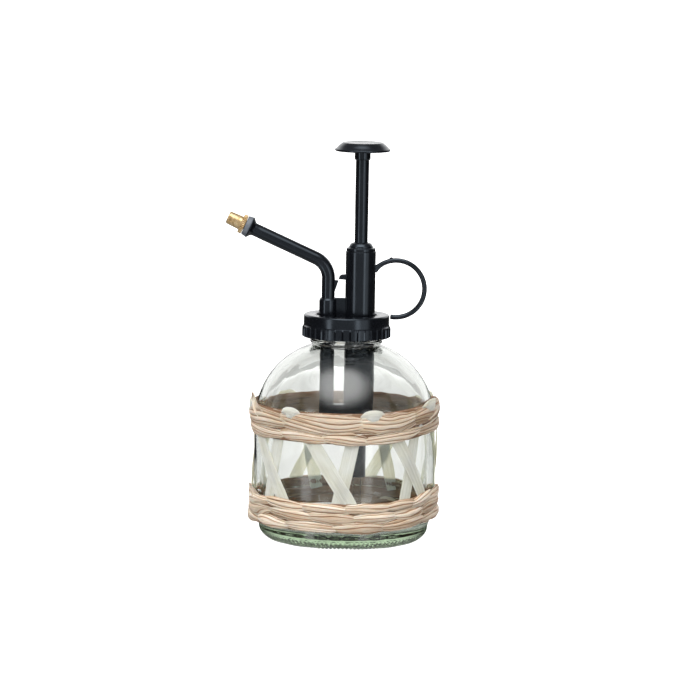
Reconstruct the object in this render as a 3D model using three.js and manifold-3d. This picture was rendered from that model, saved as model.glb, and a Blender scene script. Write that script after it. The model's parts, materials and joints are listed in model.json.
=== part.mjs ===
// Hand mister: a round glass bottle wrapped in twisted raffia, with a plunger pump in its neck.
// Millimetres, +Z up. The origin is the centre of the bottle's base. The spout points to -X and
// the finger ring is on the +X side.
import * as THREE from 'three';
import { mergeVertices } from 'three/addons/utils/BufferGeometryUtils.js';
import Module from 'manifold-3d';

const wasm = await Module();
wasm.setup();

// ---- driving dimensions -------------------------------------------------------------------
const GAP = 0.3;                    // between pieces that rest against each other
const RUN = 0.15;                   // between pieces that slide or turn on each other
const PAST = 1;                     // how far a cutting shape runs past the face that it cuts

// bottle
const BODY_R = 45.1;
const GLASS_WALL = 3.1;
const BASE_THICK = 7.5;
const FOOT_R = 34;                  // flat of the base
const HEEL_H = 13;
const INNER_HEEL_R = 9;
const SHOULDER_R = 40.15;           // radius of the shoulder's arc
const SHOULDER_Z = 59.8;
const NECK_R = 17;
const NECK_BORE_R = 14.8;
const NECK_BEAD_R = 18;
const NECK_BEAD_Z = 100;
const LIP_Z = 108.4;
const LIP_OUTER_CHAMFER = 0.6;
const LIP_INNER_CHAMFER = 0.5;
const THREAD_CREST_R = 18.05;
const THREAD_PITCH = 3.2;
const THREAD_TURNS = 1.3;
const THREAD_START_Z = 102.6;
const THREAD_STEPS = 22;

// wrap
const WRAP_IN_R = 45.4;
const LOWER_CORD_Z = 10.5;
const LOWER_CORD_H = 4.5;
const LOWER_CORD_COUNT = 3;
const LOWER_CORD_OUT_R = 47.6;
const UPPER_CORD_Z = 54.5;
const UPPER_CORD_H = 4.6;
const UPPER_CORD_OUT_R = 47;
const UPPER_BUNDLE_H = 9.9;
const UPPER_BUNDLE_OUT_R = 47.6;
const STRIP_WIDTH = 7;
const STRIP_THICK = 0.4;
const SLANT_TOPS_DEG = [-63.6, -19.5, 35, 87, 140, 192, 244];   // woven by hand, so unevenly spaced
const SLANT_SWEEP_DEG = 23;
const COUNTER_TOPS_DEG = [-46, 5, 49.5, 102, 155, 208, 261];
const COUNTER_SWEEP_DEG = -8;

// pump body
const PUMP_X = 6.6;                 // axis of the barrel, the plunger and the inlet
const RISER_X = -9.4;               // axis of the riser and the spout's upright
const BARREL_R = 7.5;
const BARREL_BORE_R = 6.2;
const BARREL_TOP_Z = 145.2;
const BODY_BOTTOM_Z = 68.3;
const RISER_R = 3.55;
const RISER_BORE_R = 2;
const FLANGE_R = 16.6;
const FLANGE_Z = 110.1;
const FLANGE_THICK = 1.6;
const SOCKET_R = 4.4;
const SOCKET_TOP_Z = 121.4;
const OUTLET_SEAT_Z = 111.5;
const OUTLET_CHAMBER_R = 2.9;
const SOCKET_STEP_Z = 117.2;
const WEB_THICK = 2.4;
const WEB_PROUD = 0.2;              // the web stands this far above the socket's rim
const ROOT = 0.5;                   // how far joined features, and joined bores, run together
const TAB_ROOT = 0.6;
const TAB_Z = 130.7;
const TAB_TOP_Z = 133.2;
const TAB_REACH_X = -4.2;
const TAB_WIDTH = 3;
const TAB_CHAMFER = 1;
const FIN_Z = 124.6;                // the spout's fin hooks under the tab
const FIN_THICK = 1.6;

// foot of the pump, valves and tubes
const FOOT_Z = 62.8;
const FOOT_TOP_Z = 68;
const INLET_SEAT_Z = 65;
const INLET_HOLE_R = 1.6;
const VALVE_POCKET_R = 4.5;
const CROSS_BORE_Z = 66.2;
const CROSS_BORE_R = 1.1;
const CAGE_TOP_Z = 71.2;
const CAGE_PLATE = 1;
const CAGE_WALL = 0.9;
const CAGE_HOLE_R = 1.4;
const INLET_BALL_R = 2.2;
const OUTLET_BALL_R = 2.5;
const SEAT_GAP = 0.12;
const TAIL_R = 4.1;
const TAIL_END_Z = 31.6;
const DIP_R = 2.5;
const DIP_BORE_R = 1.7;
const DIP_END_Z = 9.5;
const DIP_INSERT = 13;

// plunger
const BUTTON_TOP_Z = 199.5;
const BUTTON_FACE_R = 10.4;
const BUTTON_R = 13.8;
const BUTTON_RIM_Z = 195.2;
const BUTTON_SKIN = 1.5;
const BUTTON_RIM_THICK = 1.6;
const BUTTON_DISH = 0.5;            // depth of the hollow in the button's face
const SLEEVE_R = 3.95;
const SLEEVE_END_Z = 190.8;
const ROD_R = 3.3;
const ROD_TOP_Z = 197.3;
const PISTON_Z = 121;
const PISTON_TOP_Z = 134;
const PISTON_R = 6;
const PISTON_FLOOR = 3;             // solid end of the piston below the rod's spigot
const PISTON_GROOVE_R = 4.6;
const PISTON_GROOVE = [4, 7.5];     // its two faces, above the piston's end
const PISTON_SEAL_MID_R = 5.45;
const PISTON_SEAL_HALF_WIDTH = 0.65;
const PISTON_SEAL_HALF_HEIGHT = 1.4;
const SPIGOT_R = 2;
const SPRING_R = 4.9;
const SPRING_WIRE_R = 0.45;
const SPRING_TURNS = 9;
const SPRING_STEPS = 8;             // steps of one turn

// gland
const GLAND_SPIGOT_Z = 139;
const GLAND_FLANGE_R = 7.23;
const GLAND_FLANGE_THICK = 1.4;
const GLAND_DOME_R = 5.8;
const GLAND_EDGE_R = 1.6;
const GLAND_TOP_Z = 149.4;
const SEAL_Z = 142;
const SEAL_GROOVE_DEPTH = 1.3;
const SEAL_GROOVE_HALF = 1;
const SEAL_MID_OUT = 0.8;           // from the rod's surface to the middle of the seal's section
const SEAL_HALF_WIDTH = 0.5;
const SEAL_HALF_HEIGHT = 0.6;

// spout and nozzle
const SPOUT_R = 3.3;
const SPOUT_BORE_R = 2.2;
const SPOUT_FOOT_Z = 117.5;
const ARM_RISE_DEG = 24.2;
const BEND_R = 11;
const ARM_CORNER_Z = 138.4;         // where the arm's axis meets the upright's
const ARM_LENGTH = 43.5;            // from that corner to the spout's front flange
const FLARE_LENGTH = 1.9;
const FLARE_R = 5.55;
const FLARE_EDGE = 0.6;             // the flare's flat rim
const SPRAY_BORE_R = 1.2;           // narrow bore through the front flange and its spigot
const SPRAY_BORE_START = 6;
const FIN_ROOT = 0.6;
const WASHER_BACK_R = 5.3;
const WASHER_FRONT_R = 4.9;
const WASHER_END = 2.4;             // the next four are distances past the front flange
const KNURL_START = 2.7;
const KNURL_END = 4.7;
const TIP_END = 11.6;
const KNURL_R = 4.9;
const KNURL_DEPTH = 0.3;
const KNURL_TEETH = 24;
const TIP_R = 3.35;
const TIP_WALL = 1.4;               // end wall at the spray hole
const SPRAY_HOLE_R = 0.5;
const NOZZLE_SPIGOT_R = 2.4;
const NOZZLE_SPIGOT_END = 6;
const SWIRL_R = 2.2;
const SWIRL_LENGTH = 2.6;

// collar
const COLLAR_R = 21.35;
const COLLAR_RIB_ROOT_R = 21.6;
const COLLAR_RIB_R = 22.2;
const COLLAR_RIBS = 36;
const COLLAR_Z = 102.1;
const COLLAR_RIB_TOP_Z = 108;
const COLLAR_TOP_Z = 113.5;
const COLLAR_PLATE = 1.5;
const COLLAR_BORE_R = 18.5;
const COLLAR_HOLE_R = 15;
const COLLAR_EDGE_R = 1;
const COLLAR_CREST_SHARE = 0.3;

// finger ring
const RING_X = 24.4;
const RING_Z = 126.5;
const RING_R = 14.25;
const RING_SECTION_R = 1.25;
const RING_START_DEG = 141;
const RING_END_DEG = -100;
const NUB_DEG = 100;                // a small moulding nub on the ring's back
const NUB_R = 0.9;
const NUB_ROOT = 0.8;
const NUB_RISE = 0.6;
const RING_STEPS = 26;

// facets round a full turn, by size of piece
const WIDE = 32;
const MEDIUM = 24;
const SMALL = 16;

// ---- materials -----------------------------------------------------------------------------
const material = (color, roughness, metalness = 0) =>
  new THREE.MeshStandardMaterial({ color, roughness, metalness });
const LOOK = {
  glass: new THREE.MeshStandardMaterial({
    color: '#dfe6df', roughness: 0.05, metalness: 0, transparent: true, opacity: 0.35,
  }),
  raffia: material('#cfae88', 0.75),
  palm: material('#e4e2d6', 0.7),
  black: material('#0d0d0e', 0.3),
  grey: material('#8d8d8a', 0.6),
  brass: material('#b98f45', 0.28, 1),
  steel: material('#b8bbbd', 0.3, 1),
  rubber: material('#202020', 0.8),
  tube: material('#cfd4cf', 0.35),
};

// ---- helpers -------------------------------------------------------------------------------
const radians = THREE.MathUtils.degToRad;
const lerp = THREE.MathUtils.lerp;

/** Bare closed geometry with shared vertices and faces that point out. */
function closed(geometry) {
  const bare = geometry.clone();
  bare.deleteAttribute('normal');
  bare.deleteAttribute('uv');
  const merged = mergeVertices(bare, 1e-4);
  const p = merged.attributes.position;
  const corner = [new THREE.Vector3(), new THREE.Vector3(), new THREE.Vector3()];
  const kept = [];
  let volume = 0;
  for (let i = 0; i < merged.index.count; i += 3) {
    const [a, b, c] = [0, 1, 2].map((k) => merged.index.getX(i + k));
    if (a === b || b === c || a === c) continue;
    kept.push(a, b, c);
    [a, b, c].forEach((v, k) => corner[k].fromBufferAttribute(p, v));
    volume += corner[0].dot(corner[1].cross(corner[2]));
  }
  if (volume < 0) kept.reverse();
  merged.setIndex(kept);
  return merged;
}

function solid(geometry) {
  const g = closed(geometry);
  const mesh = new wasm.Mesh({
    numProp: 3,
    vertProperties: new Float32Array(g.attributes.position.array),
    triVerts: new Uint32Array(g.index.array),
  });
  return new wasm.Manifold(mesh);
}

function geometryOf(manifold) {
  const mesh = manifold.getMesh();
  const g = new THREE.BufferGeometry();
  g.setAttribute('position', new THREE.BufferAttribute(new Float32Array(mesh.vertProperties), 3));
  g.setIndex([...mesh.triVerts]);
  return g;
}

/** A profile of [radius, z] points turned about a vertical axis at x. */
function turned(profile, facets, x = 0) {
  const points = profile.map(([r, z]) => new THREE.Vector2(r, z));
  return closed(new THREE.LatheGeometry(points, facets)).rotateX(Math.PI / 2).translate(x, 0, 0);
}

function disc(radius, z0, z1, facets, x = 0) {
  return turned([[0, z0], [radius, z0], [radius, z1], [0, z1]], facets, x);
}

function tubeRing(inner, outer, z0, z1, facets, x = 0) {
  return turned([[inner, z0], [outer, z0], [outer, z1], [inner, z1], [inner, z0]], facets, x);
}

/** Points of an arc in a [radius, z] profile, both ends included. */
function arc(cr, cz, rr, rz, fromDeg, toDeg, steps) {
  return Array.from({ length: steps + 1 }, (_, i) => {
    const a = radians(lerp(fromDeg, toDeg, i / steps));
    return [cr + rr * Math.cos(a), cz + rz * Math.sin(a)];
  });
}

/** A cord round the bottle: flat against the glass, with its outer edges taken off. */
function cordRing(inner, outer, z0, z1) {
  const edge = (outer - inner) / 2;
  return turned([
    [inner, z0], [outer - edge, z0], [outer, z0 + edge], [outer, z1 - edge], [outer - edge, z1],
    [inner, z1], [inner, z0],
  ], WIDE);
}

function box(x0, x1, y0, y1, z0, z1) {
  const g = new THREE.BoxGeometry(x1 - x0, y1 - y0, z1 - z0);
  return g.translate((x0 + x1) / 2, (y0 + y1) / 2, (z0 + z1) / 2);
}

/** A disc with teeth round its edge. crestShare is the crest's share of one tooth's pitch. */
function toothedDisc(rootR, crestR, teeth, crestShare, z0, z1) {
  const step = (2 * Math.PI) / teeth;
  const flank = 0.06;
  const outline = [];
  for (let i = 0; i < teeth; i += 1) {
    const corners = [[rootR, -crestShare / 2 - flank], [crestR, -crestShare / 2],
      [crestR, crestShare / 2], [rootR, crestShare / 2 + flank]];
    for (const [r, share] of corners) {
      const a = (i + share) * step;
      outline.push(new THREE.Vector2(r * Math.cos(a), r * Math.sin(a)));
    }
  }
  const shape = new THREE.Shape(outline);
  return new THREE.ExtrudeGeometry(shape, { depth: z1 - z0, bevelEnabled: false })
    .translate(0, 0, z0);
}

/** A plate standing in the X-Z plane, centred on Y = 0, from its [x, z] outline. */
function upright(outline, thick) {
  const shape = new THREE.Shape(outline.map(([x, z]) => new THREE.Vector2(x, z)));
  return new THREE.ExtrudeGeometry(shape, { depth: thick, bevelEnabled: false })
    .rotateX(Math.PI / 2).translate(0, thick / 2, 0);
}

function circleShape(radius, facets) {
  return new THREE.Shape(Array.from({ length: facets }, (_, i) => {
    const a = (i / facets) * 2 * Math.PI;
    return new THREE.Vector2(radius * Math.cos(a), radius * Math.sin(a));
  }));
}

function alongPath(radius, path, steps, facets) {
  return new THREE.ExtrudeGeometry(circleShape(radius, facets), {
    steps, extrudePath: path, bevelEnabled: false,
  });
}

function part(name, geometry, look) {
  const clean = geometry.clone();
  clean.computeVertexNormals();
  const mesh = new THREE.Mesh(clean, look);
  mesh.name = name;
  return mesh;
}

// ---- bottle and its wrap ---------------------------------------------------------------------
const shoulderCentreR = BODY_R - SHOULDER_R;

function bottleNeckThread() {
  class Helix extends THREE.Curve {
    getPoint(t, target = new THREE.Vector3()) {
      const a = t * THREAD_TURNS * 2 * Math.PI;
      const z = THREAD_START_Z + t * THREAD_TURNS * THREAD_PITCH;
      return target.set(NECK_R * Math.cos(a), NECK_R * Math.sin(a), z);
    }
  }
  return alongPath(THREAD_CREST_R - NECK_R, new Helix(), THREAD_STEPS, 4);
}

function glassBottle() {
  const neckFootDeg = THREE.MathUtils.radToDeg(Math.acos((NECK_R - shoulderCentreR) / SHOULDER_R));
  const innerR = SHOULDER_R - GLASS_WALL;
  const boreFootDeg = THREE.MathUtils.radToDeg(Math.acos((NECK_BORE_R - shoulderCentreR) / innerR));
  const bead = NECK_BEAD_R - NECK_R;
  const outline = [
    [0, 0],
    ...arc(FOOT_R, HEEL_H, BODY_R - FOOT_R, HEEL_H, -90, 0, 3),
    ...arc(shoulderCentreR, SHOULDER_Z, SHOULDER_R, SHOULDER_R, 0, neckFootDeg, 6),
    ...arc(NECK_R, NECK_BEAD_Z, bead, bead, -60, 60, 2),
    [NECK_R, LIP_Z - LIP_OUTER_CHAMFER],
    [NECK_R - LIP_OUTER_CHAMFER, LIP_Z],
    [NECK_BORE_R + LIP_INNER_CHAMFER, LIP_Z],
    [NECK_BORE_R, LIP_Z - LIP_INNER_CHAMFER],
    ...arc(shoulderCentreR, SHOULDER_Z, innerR, innerR, boreFootDeg, 0, 5),
    ...arc(BODY_R - GLASS_WALL - INNER_HEEL_R, BASE_THICK + INNER_HEEL_R, INNER_HEEL_R,
      INNER_HEEL_R, 0, -90, 3),
    [0, BASE_THICK],
  ];
  const body = solid(turned(outline, WIDE));
  return part('glass_bottle', geometryOf(body.add(solid(bottleNeckThread()))), LOOK.glass);
}

function raffiaCords() {
  const cords = [];
  for (let i = 0; i < LOWER_CORD_COUNT; i += 1) {
    const z = LOWER_CORD_Z + i * (LOWER_CORD_H + GAP);
    const ring = cordRing(WRAP_IN_R, LOWER_CORD_OUT_R, z, z + LOWER_CORD_H);
    cords.push(part(`lower_cord_${i + 1}`, ring, LOOK.raffia));
  }
  const bundleZ = UPPER_CORD_Z + UPPER_CORD_H + GAP;
  const cord = cordRing(WRAP_IN_R, UPPER_CORD_OUT_R, UPPER_CORD_Z, UPPER_CORD_Z + UPPER_CORD_H);
  const bundle = cordRing(WRAP_IN_R, UPPER_BUNDLE_OUT_R, bundleZ, bundleZ + UPPER_BUNDLE_H);
  cords.push(part('upper_cord', cord, LOOK.raffia), part('upper_bundle', bundle, LOOK.raffia));
  return cords;
}

/** A flat strip bent round the bottle. Angles run from the front (-Y) towards +X. */
function palmStrip(name, topDeg, sweepDeg, innerR) {
  const bottomZ = LOWER_CORD_Z + LOWER_CORD_COUNT * (LOWER_CORD_H + GAP);
  const topZ = UPPER_CORD_Z - GAP;
  const g = new THREE.BoxGeometry(1, 1, 1, 2, 1, 3);
  const p = g.attributes.position;
  const climb = topZ - bottomZ;
  const sideways = radians(sweepDeg) * BODY_R;
  const halfWidth = STRIP_WIDTH / 2 * Math.hypot(climb, sideways) / climb;
  for (let i = 0; i < p.count; i += 1) {
    const down = 0.5 - p.getZ(i);
    const r = innerR + (0.5 + p.getY(i)) * STRIP_THICK;
    const a = radians(topDeg + sweepDeg * down) + 2 * p.getX(i) * halfWidth / BODY_R;
    p.setXYZ(i, r * Math.sin(a), -r * Math.cos(a), lerp(topZ, bottomZ, down));
  }
  return part(name, closed(g), LOOK.palm);
}

function palmStrips() {
  const outerR = WRAP_IN_R + STRIP_THICK + GAP;
  return [
    ...SLANT_TOPS_DEG.map((a, i) => palmStrip(`slant_strip_${i + 1}`, a, SLANT_SWEEP_DEG, outerR)),
    ...COUNTER_TOPS_DEG.map((a, i) =>
      palmStrip(`counter_strip_${i + 1}`, a, COUNTER_SWEEP_DEG, WRAP_IN_R)),
  ];
}

// ---- pump body -------------------------------------------------------------------------------
function pumpBody() {
  const webTop = SOCKET_TOP_Z + WEB_PROUD;
  const flangeTop = FLANGE_Z + FLANGE_THICK;
  const tabRootX = PUMP_X - BARREL_R + TAB_ROOT;
  const tabPlate = upright([
    [tabRootX, TAB_Z], [tabRootX, TAB_TOP_Z], [TAB_REACH_X + TAB_CHAMFER, TAB_TOP_Z],
    [TAB_REACH_X, TAB_TOP_Z - TAB_CHAMFER], [TAB_REACH_X, TAB_Z],
  ], TAB_WIDTH);
  const body = solid(disc(BARREL_R, BODY_BOTTOM_Z, BARREL_TOP_Z, MEDIUM, PUMP_X))
    .add(solid(disc(RISER_R, BODY_BOTTOM_Z, FLANGE_Z + ROOT, SMALL, RISER_X)))
    .add(solid(disc(FLANGE_R, FLANGE_Z, flangeTop, MEDIUM)))
    .add(solid(disc(SOCKET_R, FLANGE_Z + ROOT, SOCKET_TOP_Z, SMALL, RISER_X)))
    .add(solid(box(RISER_X, PUMP_X, -WEB_THICK / 2, WEB_THICK / 2, flangeTop - ROOT, webTop)))
    .add(solid(tabPlate));
  return part('pump_body', geometryOf(body
    .subtract(solid(disc(BARREL_BORE_R, BODY_BOTTOM_Z - PAST, BARREL_TOP_Z + PAST, MEDIUM, PUMP_X)))
    .subtract(solid(disc(RISER_BORE_R, BODY_BOTTOM_Z - PAST, OUTLET_SEAT_Z + ROOT, SMALL, RISER_X)))
    .subtract(solid(disc(OUTLET_CHAMBER_R, OUTLET_SEAT_Z, SOCKET_STEP_Z + ROOT, SMALL, RISER_X)))
    .subtract(solid(disc(SPOUT_R + RUN, SOCKET_STEP_Z, webTop + PAST, SMALL, RISER_X)))), LOOK.black);
}

function fingerRing() {
  class RingArc extends THREE.Curve {
    getPoint(t, target = new THREE.Vector3()) {
      const a = radians(lerp(RING_START_DEG, RING_END_DEG, t));
      return target.set(RING_X + RING_R * Math.cos(a), 0, RING_Z + RING_R * Math.sin(a));
    }
  }
  const nubR = RING_R + RING_SECTION_R;
  const nub = disc(NUB_R, -NUB_ROOT, NUB_RISE, 8).rotateY(radians(90 - NUB_DEG)).translate(
    RING_X + nubR * Math.cos(radians(NUB_DEG)), 0, RING_Z + nubR * Math.sin(radians(NUB_DEG)));
  const ring = solid(alongPath(RING_SECTION_R, new RingArc(), RING_STEPS, 8)).add(solid(nub));
  const clear = solid(disc(BARREL_R + GAP, FLANGE_Z, BARREL_TOP_Z, MEDIUM, PUMP_X));
  return part('finger_ring', geometryOf(ring.subtract(clear)), LOOK.black);
}

function neckGasket() {
  const inner = NECK_BORE_R + 0.2;
  return part('neck_gasket',
    tubeRing(inner, FLANGE_R, LIP_Z + GAP, FLANGE_Z - GAP, MEDIUM), LOOK.rubber);
}

function glandNut() {
  const bore = ROD_R + RUN;
  const groove = bore + SEAL_GROOVE_DEPTH;
  const grooveTop = SEAL_Z + SEAL_GROOVE_HALF;
  const grooveBottom = SEAL_Z - SEAL_GROOVE_HALF;
  const flangeTop = BARREL_TOP_Z + GAP + GLAND_FLANGE_THICK;
  const outline = [
    [bore, GLAND_SPIGOT_Z], [BARREL_BORE_R - RUN, GLAND_SPIGOT_Z],
    [BARREL_BORE_R - RUN, BARREL_TOP_Z + GAP], [GLAND_FLANGE_R, BARREL_TOP_Z + GAP],
    [GLAND_FLANGE_R, flangeTop], [GLAND_DOME_R, flangeTop],
    ...arc(GLAND_DOME_R - GLAND_EDGE_R, GLAND_TOP_Z - GLAND_EDGE_R, GLAND_EDGE_R, GLAND_EDGE_R, 0, 90, 3),
    [bore, GLAND_TOP_Z], [bore, grooveTop], [groove, grooveTop], [groove, grooveBottom],
    [bore, grooveBottom], [bore, GLAND_SPIGOT_Z],
  ];
  return part('gland_nut', turned(outline, SMALL, PUMP_X), LOOK.black);
}

function rodSeal() {
  const section = arc(ROD_R + SEAL_MID_OUT, SEAL_Z, SEAL_HALF_WIDTH, SEAL_HALF_HEIGHT, 0, 360, 6);
  return part('rod_seal', turned(section, SMALL, PUMP_X), LOOK.rubber);
}

// ---- foot, valves and tubes ------------------------------------------------------------------
function footBlock() {
  const halfWidth = RISER_R;
  const cross = new THREE.CylinderGeometry(CROSS_BORE_R, CROSS_BORE_R, PUMP_X - RISER_X, 8)
    .rotateZ(Math.PI / 2).translate((PUMP_X + RISER_X) / 2, 0, CROSS_BORE_Z);
  const body = solid(disc(BARREL_R, FOOT_Z, FOOT_TOP_Z, MEDIUM, PUMP_X))
    .add(solid(disc(RISER_R, FOOT_Z, FOOT_TOP_Z, SMALL, RISER_X)))
    .add(solid(box(RISER_X, PUMP_X, -halfWidth, halfWidth, FOOT_Z, FOOT_TOP_Z)));
  return part('foot_block', geometryOf(body
    .subtract(solid(disc(INLET_HOLE_R, FOOT_Z - PAST, FOOT_TOP_Z, SMALL, PUMP_X)))
    .subtract(solid(disc(VALVE_POCKET_R, INLET_SEAT_Z, FOOT_TOP_Z + PAST, SMALL, PUMP_X)))
    .subtract(solid(disc(RISER_BORE_R, INLET_SEAT_Z, FOOT_TOP_Z + PAST, SMALL, RISER_X)))
    .subtract(solid(cross))), LOOK.black);
}

function valveCage() {
  const outer = BARREL_BORE_R - RUN;
  const inner = outer - CAGE_WALL;
  const plateZ = CAGE_TOP_Z - CAGE_PLATE;
  const outline = [
    [inner, BODY_BOTTOM_Z], [outer, BODY_BOTTOM_Z], [outer, CAGE_TOP_Z], [CAGE_HOLE_R, CAGE_TOP_Z],
    [CAGE_HOLE_R, plateZ], [inner, plateZ], [inner, BODY_BOTTOM_Z],
  ];
  return part('valve_cage', turned(outline, SMALL, PUMP_X), LOOK.tube);
}

function valveBall(name, ballR, seatHoleR, seatZ, x) {
  const height = Math.sqrt(ballR ** 2 - seatHoleR ** 2) + SEAT_GAP;
  const ball = closed(new THREE.SphereGeometry(ballR, 12, 7));
  return part(name, ball.translate(x, 0, seatZ + height), LOOK.steel);
}

function tailTube() {
  return part('tail_tube',
    tubeRing(DIP_R + RUN, TAIL_R, TAIL_END_Z, FOOT_Z - GAP, SMALL, PUMP_X), LOOK.black);
}

function dipTube() {
  return part('dip_tube',
    tubeRing(DIP_BORE_R, DIP_R, DIP_END_Z, TAIL_END_Z + DIP_INSERT, SMALL, PUMP_X), LOOK.tube);
}

// ---- plunger ---------------------------------------------------------------------------------
function pushButton() {
  const bore = ROD_R + RUN;
  const underside = BUTTON_TOP_Z - BUTTON_SKIN;
  const outline = [
    [0, BUTTON_TOP_Z - BUTTON_DISH], [BUTTON_FACE_R * 0.55, BUTTON_TOP_Z - BUTTON_DISH * 0.7],
    [BUTTON_FACE_R - 0.8, BUTTON_TOP_Z], [BUTTON_FACE_R, BUTTON_TOP_Z - 0.15],
    [(BUTTON_FACE_R + BUTTON_R) / 2 + 0.25, BUTTON_TOP_Z - 1.7],
    [BUTTON_R, BUTTON_RIM_Z + 0.9], [BUTTON_R - 0.2, BUTTON_RIM_Z + 0.2],
    [BUTTON_R - 0.5, BUTTON_RIM_Z], [BUTTON_R - 1.2, BUTTON_RIM_Z],
    [BUTTON_R - BUTTON_RIM_THICK, BUTTON_RIM_Z + 1.2], [SLEEVE_R + 0.5, underside - 1.4],
    [SLEEVE_R, underside - 1.9], [SLEEVE_R, SLEEVE_END_Z], [bore, SLEEVE_END_Z],
    [bore, ROD_TOP_Z + GAP], [0, ROD_TOP_Z + GAP],
  ];
  return part('push_button', turned(outline, MEDIUM, PUMP_X), LOOK.black);
}

function plungerRod() {
  const spigotZ = PISTON_Z + PISTON_FLOOR;
  const outline = [
    [0, spigotZ], [SPIGOT_R, spigotZ], [SPIGOT_R, PISTON_TOP_Z + GAP],
    [ROD_R, PISTON_TOP_Z + GAP], [ROD_R, ROD_TOP_Z], [0, ROD_TOP_Z],
  ];
  return part('plunger_rod', turned(outline, SMALL, PUMP_X), LOOK.black);
}

function piston() {
  const [low, high] = PISTON_GROOVE.map((rise) => PISTON_Z + rise);
  const socket = SPIGOT_R + RUN;
  const socketZ = PISTON_Z + PISTON_FLOOR - GAP;
  const outline = [
    [0, PISTON_Z], [PISTON_R, PISTON_Z], [PISTON_R, low], [PISTON_GROOVE_R, low],
    [PISTON_GROOVE_R, high], [PISTON_R, high], [PISTON_R, PISTON_TOP_Z],
    [socket, PISTON_TOP_Z], [socket, socketZ], [0, socketZ],
  ];
  return part('piston', turned(outline, SMALL, PUMP_X), LOOK.tube);
}

function pistonSeal() {
  const middle = PISTON_Z + (PISTON_GROOVE[0] + PISTON_GROOVE[1]) / 2;
  const section = arc(PISTON_SEAL_MID_R, middle, PISTON_SEAL_HALF_WIDTH, PISTON_SEAL_HALF_HEIGHT,
    0, 360, 8);
  return part('piston_seal', turned(section, SMALL, PUMP_X), LOOK.rubber);
}

function returnSpring() {
  const bottom = CAGE_TOP_Z + GAP + SPRING_WIRE_R;
  const top = PISTON_Z - GAP - SPRING_WIRE_R;
  class Coil extends THREE.Curve {
    getPoint(t, target = new THREE.Vector3()) {
      const a = t * SPRING_TURNS * 2 * Math.PI;
      return target.set(PUMP_X + SPRING_R * Math.cos(a), SPRING_R * Math.sin(a), lerp(bottom, top, t));
    }
  }
  return part('return_spring', closed(alongPath(SPRING_WIRE_R, new Coil(), SPRING_TURNS * SPRING_STEPS, 4)),
    LOOK.steel);
}

// ---- spout and nozzle ------------------------------------------------------------------------
const armRise = radians(ARM_RISE_DEG);

/** Centre line of the spout: upright, bend and arm. `over` runs it on past both ends. */
function spoutPath(over = 0) {
  const turn = Math.PI / 2 - armRise;
  const lead = BEND_R * Math.tan(turn / 2);
  const bendZ = ARM_CORNER_Z - lead;
  const along = new THREE.Vector3(-Math.cos(armRise), 0, Math.sin(armRise));
  const corner = new THREE.Vector3(RISER_X, 0, ARM_CORNER_Z);
  const armStart = corner.clone().addScaledVector(along, lead);
  const armEnd = corner.clone().addScaledVector(along, ARM_LENGTH + over);
  const path = new THREE.CurvePath();
  path.add(new THREE.LineCurve3(new THREE.Vector3(RISER_X, 0, SPOUT_FOOT_Z - over),
    new THREE.Vector3(RISER_X, 0, bendZ)));
  class Bend extends THREE.Curve {
    getPoint(t, target = new THREE.Vector3()) {
      const a = t * turn;
      return target.set(RISER_X - BEND_R * (1 - Math.cos(a)), 0, bendZ + BEND_R * Math.sin(a));
    }
  }
  path.add(new Bend());
  path.add(new THREE.LineCurve3(armStart, armEnd));
  return path;
}

/** Turns a shape made about +Z from the front flange's centre into its place on the arm. */
function onArm(geometry) {
  const reach = ARM_LENGTH;
  return geometry.rotateY(armRise - Math.PI / 2).translate(
    RISER_X - reach * Math.cos(armRise), 0, ARM_CORNER_Z + reach * Math.sin(armRise));
}

function spoutTube() {
  const flare = onArm(turned([
    [0, -FLARE_LENGTH - 0.4], [SPOUT_R - 0.1, -FLARE_LENGTH - 0.4], [SPOUT_R + 0.1, -FLARE_LENGTH],
    [FLARE_R, -FLARE_EDGE], [FLARE_R, 0], [NOZZLE_SPIGOT_R, 0], [NOZZLE_SPIGOT_R, NOZZLE_SPIGOT_END],
    [0, NOZZLE_SPIGOT_END],
  ], SMALL));
  const bore = onArm(disc(SPRAY_BORE_R, -SPRAY_BORE_START, NOZZLE_SPIGOT_END + PAST, 8));
  const finRootX = RISER_X + SPOUT_R - FIN_ROOT;
  const fin = upright([
    [finRootX, FIN_Z], [finRootX + FIN_ROOT, FIN_Z], [TAB_REACH_X + 0.4, TAB_Z - GAP],
    [finRootX, TAB_Z - GAP],
  ], FIN_THICK);
  const inner = new THREE.CurvePath();
  const full = spoutPath();
  full.curves.slice(0, 2).forEach((curve) => inner.add(curve));
  const arm = full.curves[2];
  inner.add(new THREE.LineCurve3(arm.v1, arm.v1.clone().lerp(arm.v2, 0.9)));
  const footBore = disc(SPOUT_BORE_R, SPOUT_FOOT_Z - PAST, SPOUT_FOOT_Z + 2 * PAST, 8, RISER_X);
  const tube = solid(alongPath(SPOUT_R, full, 18, 12)).add(solid(flare)).add(solid(fin));
  return part('spout_tube', geometryOf(tube.subtract(solid(alongPath(SPOUT_BORE_R, inner, 16, 8)))
    .subtract(solid(footBore)).subtract(solid(bore))), LOOK.black);
}

function nozzleWasher() {
  const inner = NOZZLE_SPIGOT_R + RUN;
  return part('nozzle_washer', onArm(turned([
    [inner, GAP], [WASHER_BACK_R, GAP], [WASHER_FRONT_R, WASHER_END], [inner, WASHER_END],
    [inner, GAP],
  ], SMALL)), LOOK.grey);
}

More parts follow.
